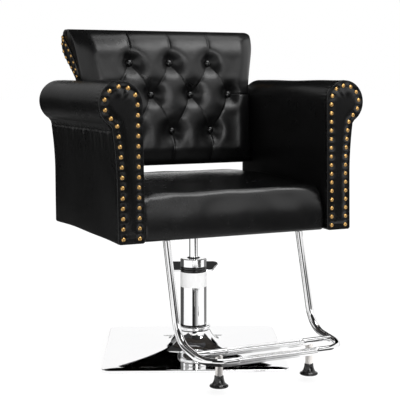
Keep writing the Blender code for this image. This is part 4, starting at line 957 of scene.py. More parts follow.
def seat_rings():
    """Sections of the seat in Y and Z, carried across X, each drawn in by a quarter circle at the sides.

    A section runs along the bottom, up the bulging front, over a round nose, back along a crowned top, down
    the round tail and forward again. Below, it steps up into a pocket round the board and over the plates.
    """
    turn = np.linspace(0.0, np.pi / 2, 9)[1:]
    pocket = BOARD_HIGH[0] + POCKET_ROOM
    inner = np.unique(np.concatenate([
        np.linspace(-(SEAT_HALF - SEAT_DRAW), SEAT_HALF - SEAT_DRAW, SEAT_COLUMNS), [-pocket, pocket],
        [-pocket - POCKET_ROOM, pocket + POCKET_ROOM]]))
    step = inner[1] - inner[0]
    edge = SEAT_HALF - SEAT_DRAW + SEAT_DRAW * np.sin(turn)
    x = np.concatenate([-edge[::-1], inner, edge])[:, None]
    pull = SEAT_DRAW * (1 - np.cos(turn))
    draw = np.concatenate([pull[::-1], np.zeros(len(inner)), pull])[:, None]
    crown = SEAT_CROWN * (1 - np.abs(x / SEAT_HALF) ** SEAT_CROWN_POWER)
    front, rear = SEAT_FRONT + draw, SEAT_REAR - draw
    low = SEAT_BOTTOM + draw * SEAT_DRAW_SHARE
    front_top = SEAT_FRONT_TOP + crown - draw
    rear_top = SEAT_REAR_TOP + crown - draw
    middle = (SEAT_FRONT + SEAT_REAR) / 2
    inside = (np.abs(x) <= pocket) * (BOARD_HIGH[2] + POCKET_ROOM - low)
    above = np.clip(np.abs(x), PLATE_LOW[0] - step, PLATE_HIGH[0] + step) == np.abs(x)
    over_plate = above * (PLATE_HIGH[2] + POCKET_ROOM - low)

    def run(start, end, count):
        """Even steps to an end, without the start."""
        return start + (end - start) * np.linspace(0.0, 1.0, count + 1)[None, 1:]

    def curve(y, z, size, start, end, count):
        """Even steps round an arc, without its start."""
        angle = np.linspace(start, end, count + 1)[None, 1:]
        return y + size * np.cos(angle), z + size * np.sin(angle)

    plate_near = np.maximum(PLATE_LOW[1] - POCKET_ROOM, front + SEAT_TOE + 2 * POCKET_ROOM)
    board_near, board_far = BOARD_LOW[1] - POCKET_ROOM, BOARD_HIGH[1] + POCKET_ROOM
    nose_y = front + SEAT_LEAN + SEAT_NOSE * math.cos(SEAT_TILT)
    nose_z = front_top - SEAT_NOSE
    climb = run(0.0, 1.0, 24)
    share = run(0.0, 1.0, SEAT_ROWS)
    parts = [
        (board_near, low + inside),
        (board_near - POCKET_ROOM, low + over_plate),
        (plate_near, low + over_plate),
        (plate_near - POCKET_ROOM, low),
        (run(plate_near - POCKET_ROOM, front + SEAT_TOE, 3), low),
        curve(front + SEAT_TOE, low + SEAT_TOE, SEAT_TOE, 1.5 * np.pi, np.pi, 5),
        (front + SEAT_LEAN * climb ** 2 - SEAT_BULGE * np.sin(np.pi * climb),
         run(low + SEAT_TOE, nose_z + SEAT_NOSE * math.sin(SEAT_TILT), 24)),
        curve(nose_y, nose_z, SEAT_NOSE, np.pi - SEAT_TILT, np.pi / 2, 12),
        (run(nose_y, rear - SEAT_TAIL, SEAT_ROWS),
         front_top + (rear_top - front_top) * share + crown * np.sin(np.pi * share)),
        curve(rear - SEAT_TAIL, rear_top - SEAT_TAIL, SEAT_TAIL, np.pi / 2, 0.0, 14),
        (rear, run(rear_top - SEAT_TAIL, low + SEAT_TOE, 12)),
        curve(rear - SEAT_TOE, low + SEAT_TOE, SEAT_TOE, 0.0, -np.pi / 2, 5),
        (run(rear - SEAT_TOE, board_far + POCKET_ROOM, 4), low),
        (board_far, low + inside),
        (run(board_far, middle, 6), low + inside)]
    rows = [np.stack(np.broadcast_arrays(x, y, z), -1) for y, z in parts]
    return np.concatenate(rows, axis=1)


def seat_creases(points):
    """Soft unevenness of the seat's top and small gathers where its nose meets the arms."""
    x, y, z = points[..., 0], points[..., 1], points[..., 2]
    from_side = SEAT_HALF - np.abs(x)
    above = soft_step((z - SEAT_BOTTOM - SEAT_UPPER_START) / SEAT_UPPER_FADE)
    slow = np.sin(21 * x + 9 * y + 0.4) * np.sin(17 * y - 7 * x + 1.1) + 0.5 * np.sin(41 * x - 23 * y)
    points[..., 2] += SEAT_UNEVEN * slow * above * soft_step(from_side / SEAT_UNEVEN_FADE)
    nose = bump(y - SEAT_FRONT - SEAT_GATHER_PLACE, SEAT_GATHER_WIDTH) * above
    fold = np.sin(SEAT_GATHER_WAVE * (z - y) + 5 * np.abs(x)) * 0.5 + 0.5
    gather = SEAT_GATHER * bump(from_side, SEAT_GATHER_REACH) * nose * fold
    points[..., 1] += gather
    points[..., 2] -= gather
    return points


def swollen(points, held, limit, wrap):
    """Blow a grid of points up as cloth and return how far each has moved when it comes to rest.

    held says how firmly each point is pinned, from 0 to 1. No point moves farther than about the limit.
    """
    rows, columns = points.shape[:2]
    start = points.reshape(-1, 3)
    item = new_piece("cloth", start, [skin(rows, columns, wrap)], closed=False)
    group = item.vertex_groups.new(name="held")
    level = np.round(held.ravel() * HOLD_LEVELS) / HOLD_LEVELS
    for weight in np.unique(level):
        group.add(np.flatnonzero(level == weight).tolist(), float(weight), "REPLACE")
    cloth = item.modifiers.new("cloth", "CLOTH")
    for label, value in CLOTH.items():
        setattr(cloth.settings, label, value)
    cloth.settings.vertex_group_mass = "held"
    cloth.settings.effector_weights.gravity = 0.0
    cloth.collision_settings.use_collision = False
    cloth.point_cache.frame_start = 1
    cloth.point_cache.frame_end = CLOTH_FRAMES
    scene = bpy.context.scene
    for number in range(1, CLOTH_FRAMES + 1):
        scene.frame_set(number)
    mesh = item.evaluated_get(bpy.context.evaluated_depsgraph_get()).to_mesh()
    rest = np.empty(len(start) * 3)
    mesh.vertices.foreach_get("co", rest)
    bpy.data.objects.remove(item)
    scene.frame_set(1)
    move = rest.reshape(-1, 3) - start
    length = np.linalg.norm(move, axis=1, keepdims=True) + 1e-9
    return (move * (limit * np.tanh(length / limit) / length)).reshape(points.shape)


def coarse_places(count):
    """Every few places of a row, with its last one."""
    return np.unique(np.append(np.arange(0, count, CLOTH_STRIDE), count - 1))


def spread_out(values, at, count):
    """Values at some places along the first axis, drawn out to every place between them."""
    every = np.arange(count)
    after = np.searchsorted(at, every, side="right").clip(1, len(at) - 1)
    share = ((every - at[after - 1]) / (at[after] - at[after - 1]))[:, None, None]
    return values[after - 1] * (1 - share) + values[after] * share


def swelling(points, held, limit, wrap):
    """How a dense grid moves when a coarser copy of it is blown up, spread between the coarse points."""
    rows, columns = (coarse_places(count) for count in points.shape[:2])
    coarse = np.ix_(rows, columns)
    move = swollen(points[coarse], held[coarse], limit, wrap)
    for _ in range(SMOOTH_PASSES):
        for way in (move, move.swapaxes(0, 1)):
            way[1:-1] = (way[:-2] + 2 * way[1:-1] + way[2:]) / 4
    move = spread_out(move, rows, points.shape[0])
    return spread_out(move.swapaxes(0, 1), columns, points.shape[1]).swapaxes(0, 1)


# Arms


def arm_line():
    """The right arm's keyhole outline in X and Z, from the middle of its foot up the inner side and round."""
    low = SEAT_BOTTOM
    inner, foot, waist = ARM_LOW[0], ARM_LOW[0] + ARM_FOOT_THICK, ARM_LOW[0] + ARM_WAIST_THICK
    corner = ARM_CORNER
    waist_z, knee_z = ROLL_Z - ARM_WAIST_DROP, low + ARM_KNEE_RISE
    knee = np.linspace(0.0, 1.0, 16)
    return even(np.vstack([
        [((inner + foot) / 2, low)],
        arc_line((inner + corner, low + corner), corner, 1.5 * np.pi, np.pi, 8),
        arc_line((ROLL_X, ROLL_Z), ROLL_RADIUS, np.pi, ROLL_END, 160),
        [(waist + ARM_SEAM_OUT, waist_z + ARM_SEAM_RISE)],
        np.column_stack([foot + (waist - foot) * (1 - knee) ** 2, waist_z + (knee_z - waist_z) * knee]),
        arc_line((foot - corner, low + corner), corner, 0.0, -np.pi / 2, 8)]), ARM_POINTS)


def arm_lean(z):
    """How far back the front of an arm stands at a height: its foot comes forward of its roll."""
    return ARM_LEAN * (z - ROLL_Z) / (ROLL_Z - SEAT_BOTTOM)


def arm_cover_rings():
    """The arm's outline carried along Y, moved along its normal by gathers, seam and rounding.

    The seam lies under the roll. Below it the leather falls in upright pleats that die away downwards. The
    inner side stops at the plane that keeps it off the seat.
    """
    line = arm_line()
    normal = outward(line)
    length = np.cumsum(np.hypot(*(line - np.roll(line, 1, 0)).T))[None, :]
    waist = (ARM_LOW[0] + ARM_WAIST_THICK, ROLL_Z - ARM_WAIST_DROP)
    past = length - length[0, np.argmin(np.hypot(*(line - waist).T))]
    turn = np.linspace(0.0, np.pi / 2, 8)[1:]
    start, end = ARM_FRONT, ARM_HIGH[1]
    body = np.linspace(start, end - ARM_REAR_ROUND, ARM_RINGS)
    tail = end - ARM_REAR_ROUND + ARM_REAR_ROUND * np.sin(turn)
    y = np.concatenate([body, tail])[:, None]
    inset = np.concatenate([np.zeros(ARM_RINGS), ARM_REAR_ROUND * (1 - np.cos(turn))])[:, None]
    along = (y - start) / (end - start)
    comb = np.sin(2 * np.pi * y / PLEAT_PITCH + 0.7 + 2.5 * along)
    comb = comb + 0.8 * np.sin(2 * np.pi * y / PLEAT_FINE_PITCH + 2.1 - 3 * along)
    comb = comb * soft_step(along / PLEAT_FRONT_FADE) * soft_step((1 - along) / PLEAT_REAR_FADE)
    pleat = PLEAT_DEPTH * comb * np.exp(-np.maximum(past, 0.0) / PLEAT_FALL) * soft_step(past / PLEAT_START)
    seam = SEAM_LIP * bump(past + SEAM_LIP_PLACE, SEAM_LIP_WIDTH) - SEAM_DEPTH * bump(past, SEAM_WIDTH)
    lap = LAP_DEPTH * np.sin(2 * np.pi * y / LAP_PITCH + 0.3) * bump(past, LAP_WIDTH)
    on_roll = (line[:, 1] > ROLL_Z - ROLL_RADIUS * 0.9)[None, :] & (past < 0)
    gather = GATHER_DEPTH * np.sin(2 * np.pi * length / GATHER_PITCH) * on_roll
    gather = gather * np.exp(-(y - start) / GATHER_REACH)
    slow = ARM_UNEVEN * np.sin(19 * y + 11 * length) * np.sin(31 * length - 8 * y + 0.6)
    slow = slow * soft_step((1 - along) / ARM_UNEVEN_FADE)
    move = (pleat + seam + lap) * soft_step((end - y) / ARM_REAR_FADE) + gather + slow - inset
    flat = line[None, :, :] + normal[None, :, :] * move[:, :, None]
    bow = ARM_BOW * np.sin(np.pi * along) * np.exp(-(line[None, :, 1] - SEAT_BOTTOM) / ARM_BOW_REACH)
    lean = arm_lean(flat[..., 1]) * (1 - along)
    across = np.maximum(flat[..., 0], ARM_LOW[0])
    return np.stack([across, y + lean, flat[..., 1] + bow], -1)


def nail_line(count, inset):
    """Places in X and Z evenly spaced along a front panel's edge, from its inner foot to its outer foot."""
    line = arm_line()
    path = line - outward(line) * inset
    path = path[line[:, 1] > SEAT_BOTTOM + ARM_CORNER]
    along = np.concatenate([[0.0], np.cumsum(np.hypot(*np.diff(path, axis=0).T))])
    at = np.linspace(along[0] + inset * NAIL_END_SHARE, along[-1] - inset * NAIL_END_SHARE, count)
    return np.column_stack([np.interp(at, along, path[:, 0]), np.interp(at, along, path[:, 1])])


def face_height(points, nails, line):
    """How far a front panel stands proud of its plane: a crown, a round edge, nail dimples and puckers."""
    edge = nearest(points, line)
    rim = FACE_ROUND * quarter_circle(edge / FACE_ROUND)
    crown = FACE_CROWN * soft_step((edge - FACE_CROWN_START) / FACE_CROWN_RUN)
    dimple = FACE_DIMPLE * bump(nearest(points, nails), FACE_DIMPLE_WIDTH)
    spoke = points - (ROLL_X, ROLL_Z)
    angle = np.arctan2(spoke[:, 1], spoke[:, 0])
    pucker = bump(np.hypot(*spoke.T) - PUCKER_RADIUS, PUCKER_WIDTH) * bump(angle - PUCKER_TURN, PUCKER_FAN)
    pucker = pucker * soft_step((spoke[:, 1] + PUCKER_DROP) / PUCKER_FADE)
    fold = PUCKER_DEPTH * pucker * np.sin(angle * 7 + 1.6 * np.sin(3 * angle))
    tug = TUG_DEPTH * np.sin(points[:, 1] / TUG_PITCH * np.pi) * bump(edge - TUG_PLACE, TUG_WIDTH)
    return rim - FACE_ROUND + crown - dimple + fold + tug


def face_piece(name, nails, sign):
    """A padded front panel: rings down its edge, and across its face a grid between its two sides."""
    line = arm_line()
    columns, half = FACE_COLUMNS, ARM_POINTS // 2
    inner, outer = line[:half][:, None, :], line[::-1][:half][:, None, :]
    share = 0.5 - 0.5 * np.cos(np.pi * np.linspace(0.0, 1.0, columns)[None, :, None])
    grid = (inner * (1 - share) + outer * share).reshape(-1, 2)
    height = face_height(grid, nails, line)
    lean = arm_lean(grid[:, 1])
    front = np.column_stack([grid[:, 0], FACE_FRONT - height + lean, grid[:, 1]])
    rear = np.column_stack([grid[:, 0], FACE_BACK + lean, grid[:, 1]])
    points = np.concatenate([front, rear])
    size = len(grid)
    sheet = skin(half, columns, wrap=False)
    border = np.concatenate([
        np.arange(half) * columns, (half - 1) * columns + np.arange(1, columns),
        (np.arange(half - 2, -1, -1)) * columns + columns - 1, np.arange(columns - 2, 0, -1)])
    after = np.roll(border, -1)
    wall = np.stack([border, after, after + size, border + size], -1)
    points[:, 0] *= sign
    return new_piece(name, points, [sheet[:, ::-1], sheet + size, wall], sharp=60.0)


def domes(name, places, normals, radius, height):
    """Round nailheads: a dome of rings about each place, with its pole along that place's normal."""
    polar = np.linspace(np.pi / 2, 0.0, NAIL_RINGS + 1)[:-1]
    angle = np.linspace(0.0, 2 * np.pi, NAIL_STEPS, endpoint=False)
    ring = np.concatenate([[1.0], np.sin(polar)])
    lift = np.concatenate([[-NAIL_SINK], np.cos(polar)])
    local = np.stack([
        np.append(radius * ring[:, None] * np.cos(angle), 0.0),
        np.append(radius * ring[:, None] * np.sin(angle), 0.0),
        np.append(np.repeat(height * lift, NAIL_STEPS), height)], -1)
    normals = normals / np.linalg.norm(normals, axis=1, keepdims=True)
    side = np.cross(normals, (0.0, 0.0, 1.0))
    side /= np.linalg.norm(side, axis=1, keepdims=True)
    axes = np.stack([side, np.cross(normals, side), normals], 1)
    points = places[:, None, :] + local @ axes
    rows, size = len(ring), len(local)
    around = np.arange(NAIL_STEPS) + (rows - 1) * NAIL_STEPS
    tip = np.stack([around, np.roll(around, -1), np.full(NAIL_STEPS, size - 1)], -1)
    parts = skin(rows, NAIL_STEPS), tip, ladder(0, NAIL_STEPS, last=False)
    shift = (np.arange(len(places)) * size)[:, None, None]
    faces = [(part + shift).reshape(-1, part.shape[1]) for part in parts]
    return new_piece(name, points.reshape(-1, 3), faces, sharp=70.0)


# Back


def back_front(z):
    """The face of the back at its buttons: a slight lean with a curl at the top."""
    rise = (z - BACK_BOTTOM) / BACK_HEIGHT
    return BACK_FOOT_Y + BACK_LEAN * rise + BACK_CURL * rise ** BACK_CURL_POWER


def back_half(z):
    """Half the back's width, which flares above the arms."""
    return BACK_HALF + BACK_FLARE * np.maximum(0.0, (z - FLARE_START) / FLARE_DROP)


def flared(x, z):
    """A place across the back, moved out with the flare near the sides."""
    return x + np.sign(x) * (back_half(z) - BACK_HALF) * (np.abs(x) / BACK_HALF) ** FLARE_POWER


def button_places():
    """Places of the buttons in X and Z, row by row from the top."""
    return np.array([
        ((place - (count - 1) / 2) * BUTTON_PITCH, z) for z, count in BUTTON_ROWS for place in range(count)])


def button_gaps(x, z):
    """Distance of each place to each button, along a last axis."""
    places = button_places()
    return np.hypot(x[..., None] - places[:, 0], z[..., None] - places[:, 1])


def pleat_lines():
    """Pleats as pairs of points: diagonals between rows, uprights to the ends, level ones to the sides."""
    places = button_places()
    top, middle, bottom = (places[places[:, 1] == height] for height, _ in BUTTON_ROWS)
    lines = []
    for upper, lower in ((top, middle), (middle, bottom)):
        for start in upper:
            lines += [(start, end) for end in lower if abs(start[0] - end[0]) < FOLD_REACH]
    lines += [(start, np.array([start[0] * FOLD_FAN, BACK_TOP + PAD_TOP_ROUND])) for start in top]
    lines += [(start, np.array([start[0], BACK_BOTTOM])) for start in bottom]
    for start in middle[[0, -1]]:
        lines.append((start, np.array([np.sign(start[0]) * back_half(start[1]), start[1]])))
    return lines


def tuft_swell(x, z, depth):
    """How far the pad stands in front of its buttons, before it is sewn.

    It is full between the pleats and falls away round each button and, less, along each pleat.
    """
    points = np.column_stack([x.ravel(), z.ravel()])
    pit = np.exp(-(np.maximum(button_gaps(*points.T) - PIT_FLAT, 0.0) / PIT_RADIUS) ** PIT_POWER)
    valley = np.max([bump(np.hypot(*off.T), VALLEY_WIDTH) for _, off in pleat_gaps(points)], axis=0)
    return ((depth - VALLEY_DEPTH * valley) * np.prod(1 - pit, axis=1)).reshape(x.shape)


def pleat_gaps(points):
    """For each pleat its direction and, for each point, the way to it from the nearest point of the pleat."""
    gaps = []
    for start, end in pleat_lines():
        run = end - start
        along = np.clip((points - start) @ run / (run @ run), 0.0, 1.0)
        gaps.append((run / np.hypot(*run), points - start - along[:, None] * run))
    return gaps


def tuft_creases(x, z):
    """How deep the sewn pleats cut in: a thin fold in each, one lip of which lies over the other.

    A few short wrinkles fan out from each button.
    """
    points = np.column_stack([x.ravel(), z.ravel()])
    gaps = button_gaps(*points.T)
    button, gap = gaps.argmin(1), gaps.min(1)
    fold = np.zeros(len(points))
    lip = np.zeros(len(points))
    for way, off in pleat_gaps(points):
        distance = np.hypot(*off.T)
        side = np.sign(way[0] * off[:, 1] - way[1] * off[:, 0])
        side = side * (np.sign(way[0]) if abs(way[0]) > 1e-6 else 1.0)
        fold = np.maximum(fold, 1 / (1 + (distance / FOLD_WIDTH) ** 2))
        lip += side * (1 - np.exp(-distance / LIP_RISE)) * np.exp(-distance / LIP_FALL)
    spoke = points - button_places()[button]
    angle = np.arctan2(spoke[:, 1], spoke[:, 0])
    wrinkle = np.sin(angle * (5 + button % 3) + button * 1.7) * bump(gap - WRINKLE_RADIUS, WRINKLE_WIDTH)
    raised = (LIP_HEIGHT * lip + WRINKLE_HEIGHT * wrinkle) * (1 - bump(gap, FOLD_END))
    return (FOLD_DEPTH * fold - raised).reshape(x.shape)


def rounded_corner(x, z):
    """Points across the back with its upper corners rounded: a square is squeezed into a quarter circle."""
    half = back_half(z)
    out = np.clip((np.abs(x) - half + BACK_CORNER) / BACK_CORNER, 0.0, 1.0)
    up = np.clip((z - BACK_TOP + BACK_CORNER) / BACK_CORNER, 0.0, 1.0)
    both = (out > 0) & (up > 0)
    inward = BACK_CORNER * out * (1 - np.sqrt(1 - up * up / 2)) * both
    downward = BACK_CORNER * up * (1 - np.sqrt(1 - out * out / 2)) * both
    return x - np.sign(x) * inward, z - downward


def side_stations(half, edge, inner_count, edge_count):
    """Places across a padded panel with how far its edge has turned away there, from 0 to 1."""
    turn = np.linspace(0.0, np.pi / 2, edge_count + 1)[1:]
    inner = np.linspace(-(half - edge), half - edge, inner_count)
    rim = half - edge + edge * np.sin(turn)
    away = 1 - np.cos(turn)
    x = np.concatenate([-rim[::-1], inner, rim])
    return x, np.concatenate([away[::-1], np.zeros(inner_count), away])


def back_pad_rings(depth):
    """Sections of the tufted pad in Y and Z, carried across X.

    A section runs up the tufted face, over a cubic curve to the seam on top, and down the flat rear. The
    face is blown up as cloth that is held at its buttons and edges, and its pleats are cut in after that.
    """
    x, away = side_stations(BACK_HALF, PAD_SIDE_ROUND, PAD_COLUMNS, 10)
    turn = np.linspace(0.0, np.pi / 2, 11)[:-1]
    toe = BACK_BOTTOM + PAD_TOE_ROUND * (1 - np.cos(turn))
    z = np.concatenate([toe, np.linspace(BACK_BOTTOM + PAD_TOE_ROUND, PAD_FACE_TOP, PAD_ROWS)])[None, :]
    under = np.concatenate([1 - np.sin(turn), np.zeros(PAD_ROWS)])[None, :]
    x, away = x[:, None], away[:, None]
    wide = flared(x, z)
    level = z + 0 * x
    edge = np.minimum(back_half(z) - np.abs(wide), z - BACK_BOTTOM)
    fade = PAD_EDGE_SHARE + (1 - PAD_EDGE_SHARE) * soft_step(edge / PAD_EDGE_FADE)
    fallen = 1 - (1 - away) * (1 - under)
    rolled = PAD_TOP_ROLL * np.maximum((z - PAD_FACE_TOP) / PAD_TOP_ROLL_RUN + 1, 0.0) ** 2
    past_side = np.maximum((np.abs(wide) - back_half(z)) / PAD_SIDE_ROLL_RUN + 1, 0.0)
    drop = PAD_SIDE_DEPTH * (1 - PAD_SIDE_EASE * soft_step((z - FLARE_START) / FLARE_DROP))
    y = back_front(z) - tuft_swell(wide, level, depth) * fade + drop * fallen + rolled
    y = y + PAD_SIDE_ROLL * past_side ** 2
    gap = button_gaps(wide, level).min(-1)
    rim = np.minimum(edge, PAD_FACE_TOP - z)
    at_button = 1 - soft_step((gap - PAD_HOLD_BUTTON) / PAD_HOLD_FADE)
    held = np.maximum(at_button, 1 - soft_step(rim / PAD_HOLD_EDGE))
    face = np.stack([wide, y, level], -1)
    y = y + swelling(face, held, PAD_SWELL, wrap=False)[..., 1]
    y = y + tuft_creases(wide, level) * soft_step(edge / FOLD_END)
    seam = back_front(BACK_TOP) + PAD_THICK
    last = y[:, -1:]
    slope = (last - y[:, -3:-2]) / (z[:, -1:] - z[:, -3:-2])
    share = np.linspace(0.0, 1.0, 19)[None, 1:]
    weights = (1 - share) ** 3, 3 * share * (1 - share) ** 2, 3 * share ** 2 * (1 - share), share ** 3
    handle = PAD_TOP_HANDLE * PAD_TOP_ROUND
    stops_y = last, last + slope * handle, seam - PAD_SEAM_HANDLE * (seam - last), seam
    stops_z = PAD_FACE_TOP, PAD_FACE_TOP + handle, BACK_TOP, BACK_TOP
    top_y = sum(weight * stop for weight, stop in zip(weights, stops_y))
    top_z = sum(weight * stop for weight, stop in zip(weights, stops_z)) + 0 * x
    rear_z = level[:, ::-1]
    all_y = np.concatenate([y, top_y, back_front(rear_z) + PAD_THICK], axis=1)
    all_z = np.concatenate([level, top_z, rear_z], axis=1)
    all_x, all_z = rounded_corner(flared(x + 0 * all_z, all_z), all_z)
    return np.stack([all_x, all_y, all_z], -1)


def back_rear(z):
    """The rear face: flat below, then out along a slope into the scroll round the top."""
    scroll_y = back_front(BACK_TOP) + PAD_THICK + SEAM_GAP
    scroll_z = BACK_TOP - SCROLL_RADIUS
    end_y = scroll_y + SCROLL_RADIUS * math.cos(SCROLL_END)
    end_z = scroll_z + SCROLL_RADIUS * math.sin(SCROLL_END)
    flat = back_front(z) + PAD_THICK + SHELL_THICK
    bow = scroll_y + np.sqrt(np.maximum(SCROLL_RADIUS ** 2 - (z - scroll_z) ** 2, 0.0))
    slope = end_y + (z - end_z) * math.tan(-SCROLL_END)
    return np.maximum(flat, np.where(z > end_z, bow, slope))


def shell_rings():
    """Sections of the back's rear cover in Y and Z, carried across X, pulled in round its side edges.

    A section runs up the seam, round the scroll and down the rear, with a slight sag between the sides.
    """
    x, away = side_stations(BACK_HALF, SHELL_EDGE, SHELL_COLUMNS, 6)
    x, away = x[:, None], away[:, None]
    turn = np.linspace(0.0, np.pi / 2, SHELL_TURN_ROWS)[None, 1:]
    end_z = BACK_TOP - SCROLL_RADIUS
    down = np.linspace(end_z, BACK_BOTTOM + SHELL_EDGE, SHELL_ROWS)[None, 1:]
    toe = np.linspace(0.0, np.pi / 2, 7)[None, 1:]
    z = np.concatenate([
        end_z + SCROLL_RADIUS * np.cos(turn), down, BACK_BOTTOM + SHELL_EDGE * (1 - np.sin(toe))], axis=1)
    rear_y = back_rear(z)
    rear_y[:, -6:] = back_rear(BACK_BOTTOM + SHELL_EDGE) - SHELL_EDGE * (1 - np.cos(toe))
    slow = SHELL_UNEVEN * np.sin(23 * x + 1.1) * np.sin(15 * z + 0.4)
    slow = slow + SHELL_UNEVEN_FINE * np.sin(47 * x - 31 * z)
    from_side, from_top = BACK_HALF - np.abs(x), BACK_TOP - z
    slow = slow * soft_step(from_side / SHELL_SIDE_FADE) * soft_step((z - BACK_BOTTOM) / SHELL_FOOT_FADE)
    edge_seam = SHELL_SEAM * bump(from_side - SHELL_SEAM_PLACE, SHELL_SEAM) * (z < end_z)
    rear_y = rear_y + slow * soft_step(from_top / SHELL_TOP_FADE) - edge_seam
    rear_y = rear_y - SHELL_EDGE * away * soft_step(from_top / SHELL_EDGE_FADE)
    front_y = back_front(z) + PAD_THICK + SEAM_GAP + 0 * x
    y = np.concatenate([front_y[:, ::-1], rear_y], axis=1)
    z = np.concatenate([z[:, ::-1], z], axis=1) + 0 * x
    x, z = rounded_corner(flared(x + 0 * z, z), z)
    return np.stack([x, y, z], -1)


def ear_line():
    """The side panel's teardrop in Y and Z: pointed below, with a front edge that slants back."""
    low, high = EAR_LOW[2], EAR_HIGH[2]
    rise = 0.5 - 0.5 * np.cos(np.linspace(0.0, np.pi, EAR_POINTS // 2))
    z = low + (high - low) * rise
    over = np.clip((z - PAD_FACE_TOP) / PAD_TOP_ROUND, 0.0, 1.0)
    seam = back_front(BACK_TOP) + PAD_THICK
    rounded = seam - (seam - back_front(PAD_FACE_TOP)) * np.sqrt(1 - over ** 2)
    slant = back_front(z) + EAR_SLANT * rise ** EAR_SLANT_POWER
    near = np.maximum(np.where(z <= PAD_FACE_TOP, back_front(z), rounded), slant) + EAR_SET_IN
    far = back_rear(z) - EAR_SET_IN
    width = np.sin(np.pi / 2 * np.minimum(rise / EAR_FULL, 1.0)) ** EAR_FOOT_POWER
    width = width * np.sqrt(np.clip(1 - rise ** EAR_TOP_POWER, 0.0, 1.0))
    centre, half = (near + far) / 2, np.maximum(far - near, 0.0) / 2 * width
    front = np.column_stack([centre - half, z])
    rear = np.column_stack([centre + half, z])
    return even(np.vstack([front, rear[::-1][1:-1]]), EAR_POINTS)


def ear_piece(name, nails, sign):
    """A padded side panel on the flare: rings in from its edge that rise in a crown, dimpled at its nails."""
    line = ear_line()
    centre = line.mean(0)
    share = np.concatenate([[1.0, 1.0], np.linspace(1.0, 0.04, EAR_RINGS)])
    rings = centre + (line - centre)[None, :, :] * share[:, None, None]
    flat = rings.reshape(-1, 2)
    edge = nearest(flat, line).reshape(len(share), -1)
    out = EAR_LIFT + EAR_RIM * quarter_circle(edge / EAR_ROUND)
    out += EAR_CROWN * soft_step((edge - EAR_CROWN_START) / EAR_CROWN_RUN)
    out -= EAR_DIMPLE * bump(nearest(flat, nails).reshape(edge.shape), EAR_DIMPLE_WIDTH)
    out[0] = SEAM_GAP
    x = ear_plane(rings[..., 1]) + out
    points = np.stack([sign * x, rings[..., 0], rings[..., 1]], -1)
    return loft(name, points, sharp=70.0)


def ear_plane(z):
    """Half the back's width where a side panel lies on its flare."""
    return BACK_HALF + EAR_SLOPE * (z - FLARE_START)


def ear_nail_line(count, inset):
    """Places in Y and Z evenly spaced round a side panel, inside its edge."""
    line = ear_line()
    return even(line - outward(line) * inset, count)


def button_piece(number, radius):
    """A covered button: a dome on a short stem, turned square to the back at the place of its solid."""
    low, high = corners(f"tuft_button_{number}")
    x, _, z = (low + high) / 2
    angle = np.linspace(np.pi / 2, -BUTTON_TUCK, 14)
    height = np.where(angle > 0, BUTTON_DOME, BUTTON_UNDER) * np.sin(angle)
    profile = np.column_stack([radius * np.cos(angle), height])
    profile[0, 0] = BUTTON_POLE
    stem = [(radius * BUTTON_STEM_SHARE, -BUTTON_STEM), (BUTTON_POLE, -BUTTON_STEM)]
    piece = turned(f"button_{number}", np.vstack([profile, stem]), steps=40, sharp=80.0)
    points = np.empty(len(piece.data.vertices) * 3)
    piece.data.vertices.foreach_get("co", points)
    lean = math.atan2(back_front(z + radius) - back_front(z - radius), 2 * radius)
    upward = (0.0, math.sin(lean), math.cos(lean))
    forward = (0.0, -math.cos(lean), math.sin(lean))
    place = np.array([x, low[1] + BUTTON_DOME * math.cos(lean), z])
    points = place + points.reshape(-1, 3) @ np.array([(1.0, 0.0, 0.0), upward, forward])
    piece.data.vertices.foreach_set("co", points.astype(np.float32).ravel())
    piece.data.update()
    return piece


# Base, pump and footrest


def square_reach(angle, half, corner):
    """Distance from the middle of a rounded square to its outline, along each angle."""
    fold = np.abs((angle + np.pi / 4) % (np.pi / 2) - np.pi / 4)
    middle = half - corner
    along = middle * (np.cos(fold) + np.sin(fold))
    round_part = along + np.sqrt(np.maximum(along ** 2 - 2 * middle ** 2 + corner ** 2, 0.0))
    return np.where(half * np.tan(fold) <= middle, half / np.cos(fold), round_part)


def base_cover_rings():
    """The base's cover: a rounded square rim that rises, first gently and then steeply, to a round neck."""
    angle = np.linspace(0.0, 2 * np.pi, BASE_POINTS, endpoint=False)[None, :]
    half = BASE_SIDE / 2
    soft = BASE_EDGE_ROUND
    levels = [(square_reach(angle, half, BASE_CORNER), COVER_LOW[2])]
    for turn in np.linspace(0.0, np.pi / 2, 6):
        inset = soft * (1 - np.cos(turn))
        reach = square_reach(angle, half - inset, BASE_CORNER - inset / 2)
        levels.append((reach, BASE_TOP - soft + soft * np.sin(turn)))
    inner = half - BASE_MARGIN
    steep = NECK_HEIGHT - BASE_TOP - BASE_SHOULDER
    for share in 1 - (1 - np.linspace(0.0, 1.0, BASE_RINGS)) ** 2:
        height = BASE_TOP + BASE_SHOULDER * share + steep * math.exp((share - 1) / BASE_FLARE)
        reach = NECK_RADIUS * share + square_reach(angle, inner, BASE_CORNER) * (1 - share)
        levels.append((reach, height))
    levels.append((np.full(angle.shape, PUMP_RADIUS + NECK_ROOM), NECK_HEIGHT + BASE_SHEET / 2))
    reach = np.concatenate([level[0] for level in levels])
    height = np.array([level[1] for level in levels])[:, None] + 0 * angle
    turned_angle = angle + BASE_TURN
    return np.stack([reach * np.cos(turned_angle), reach * np.sin(turned_angle), height], -1)


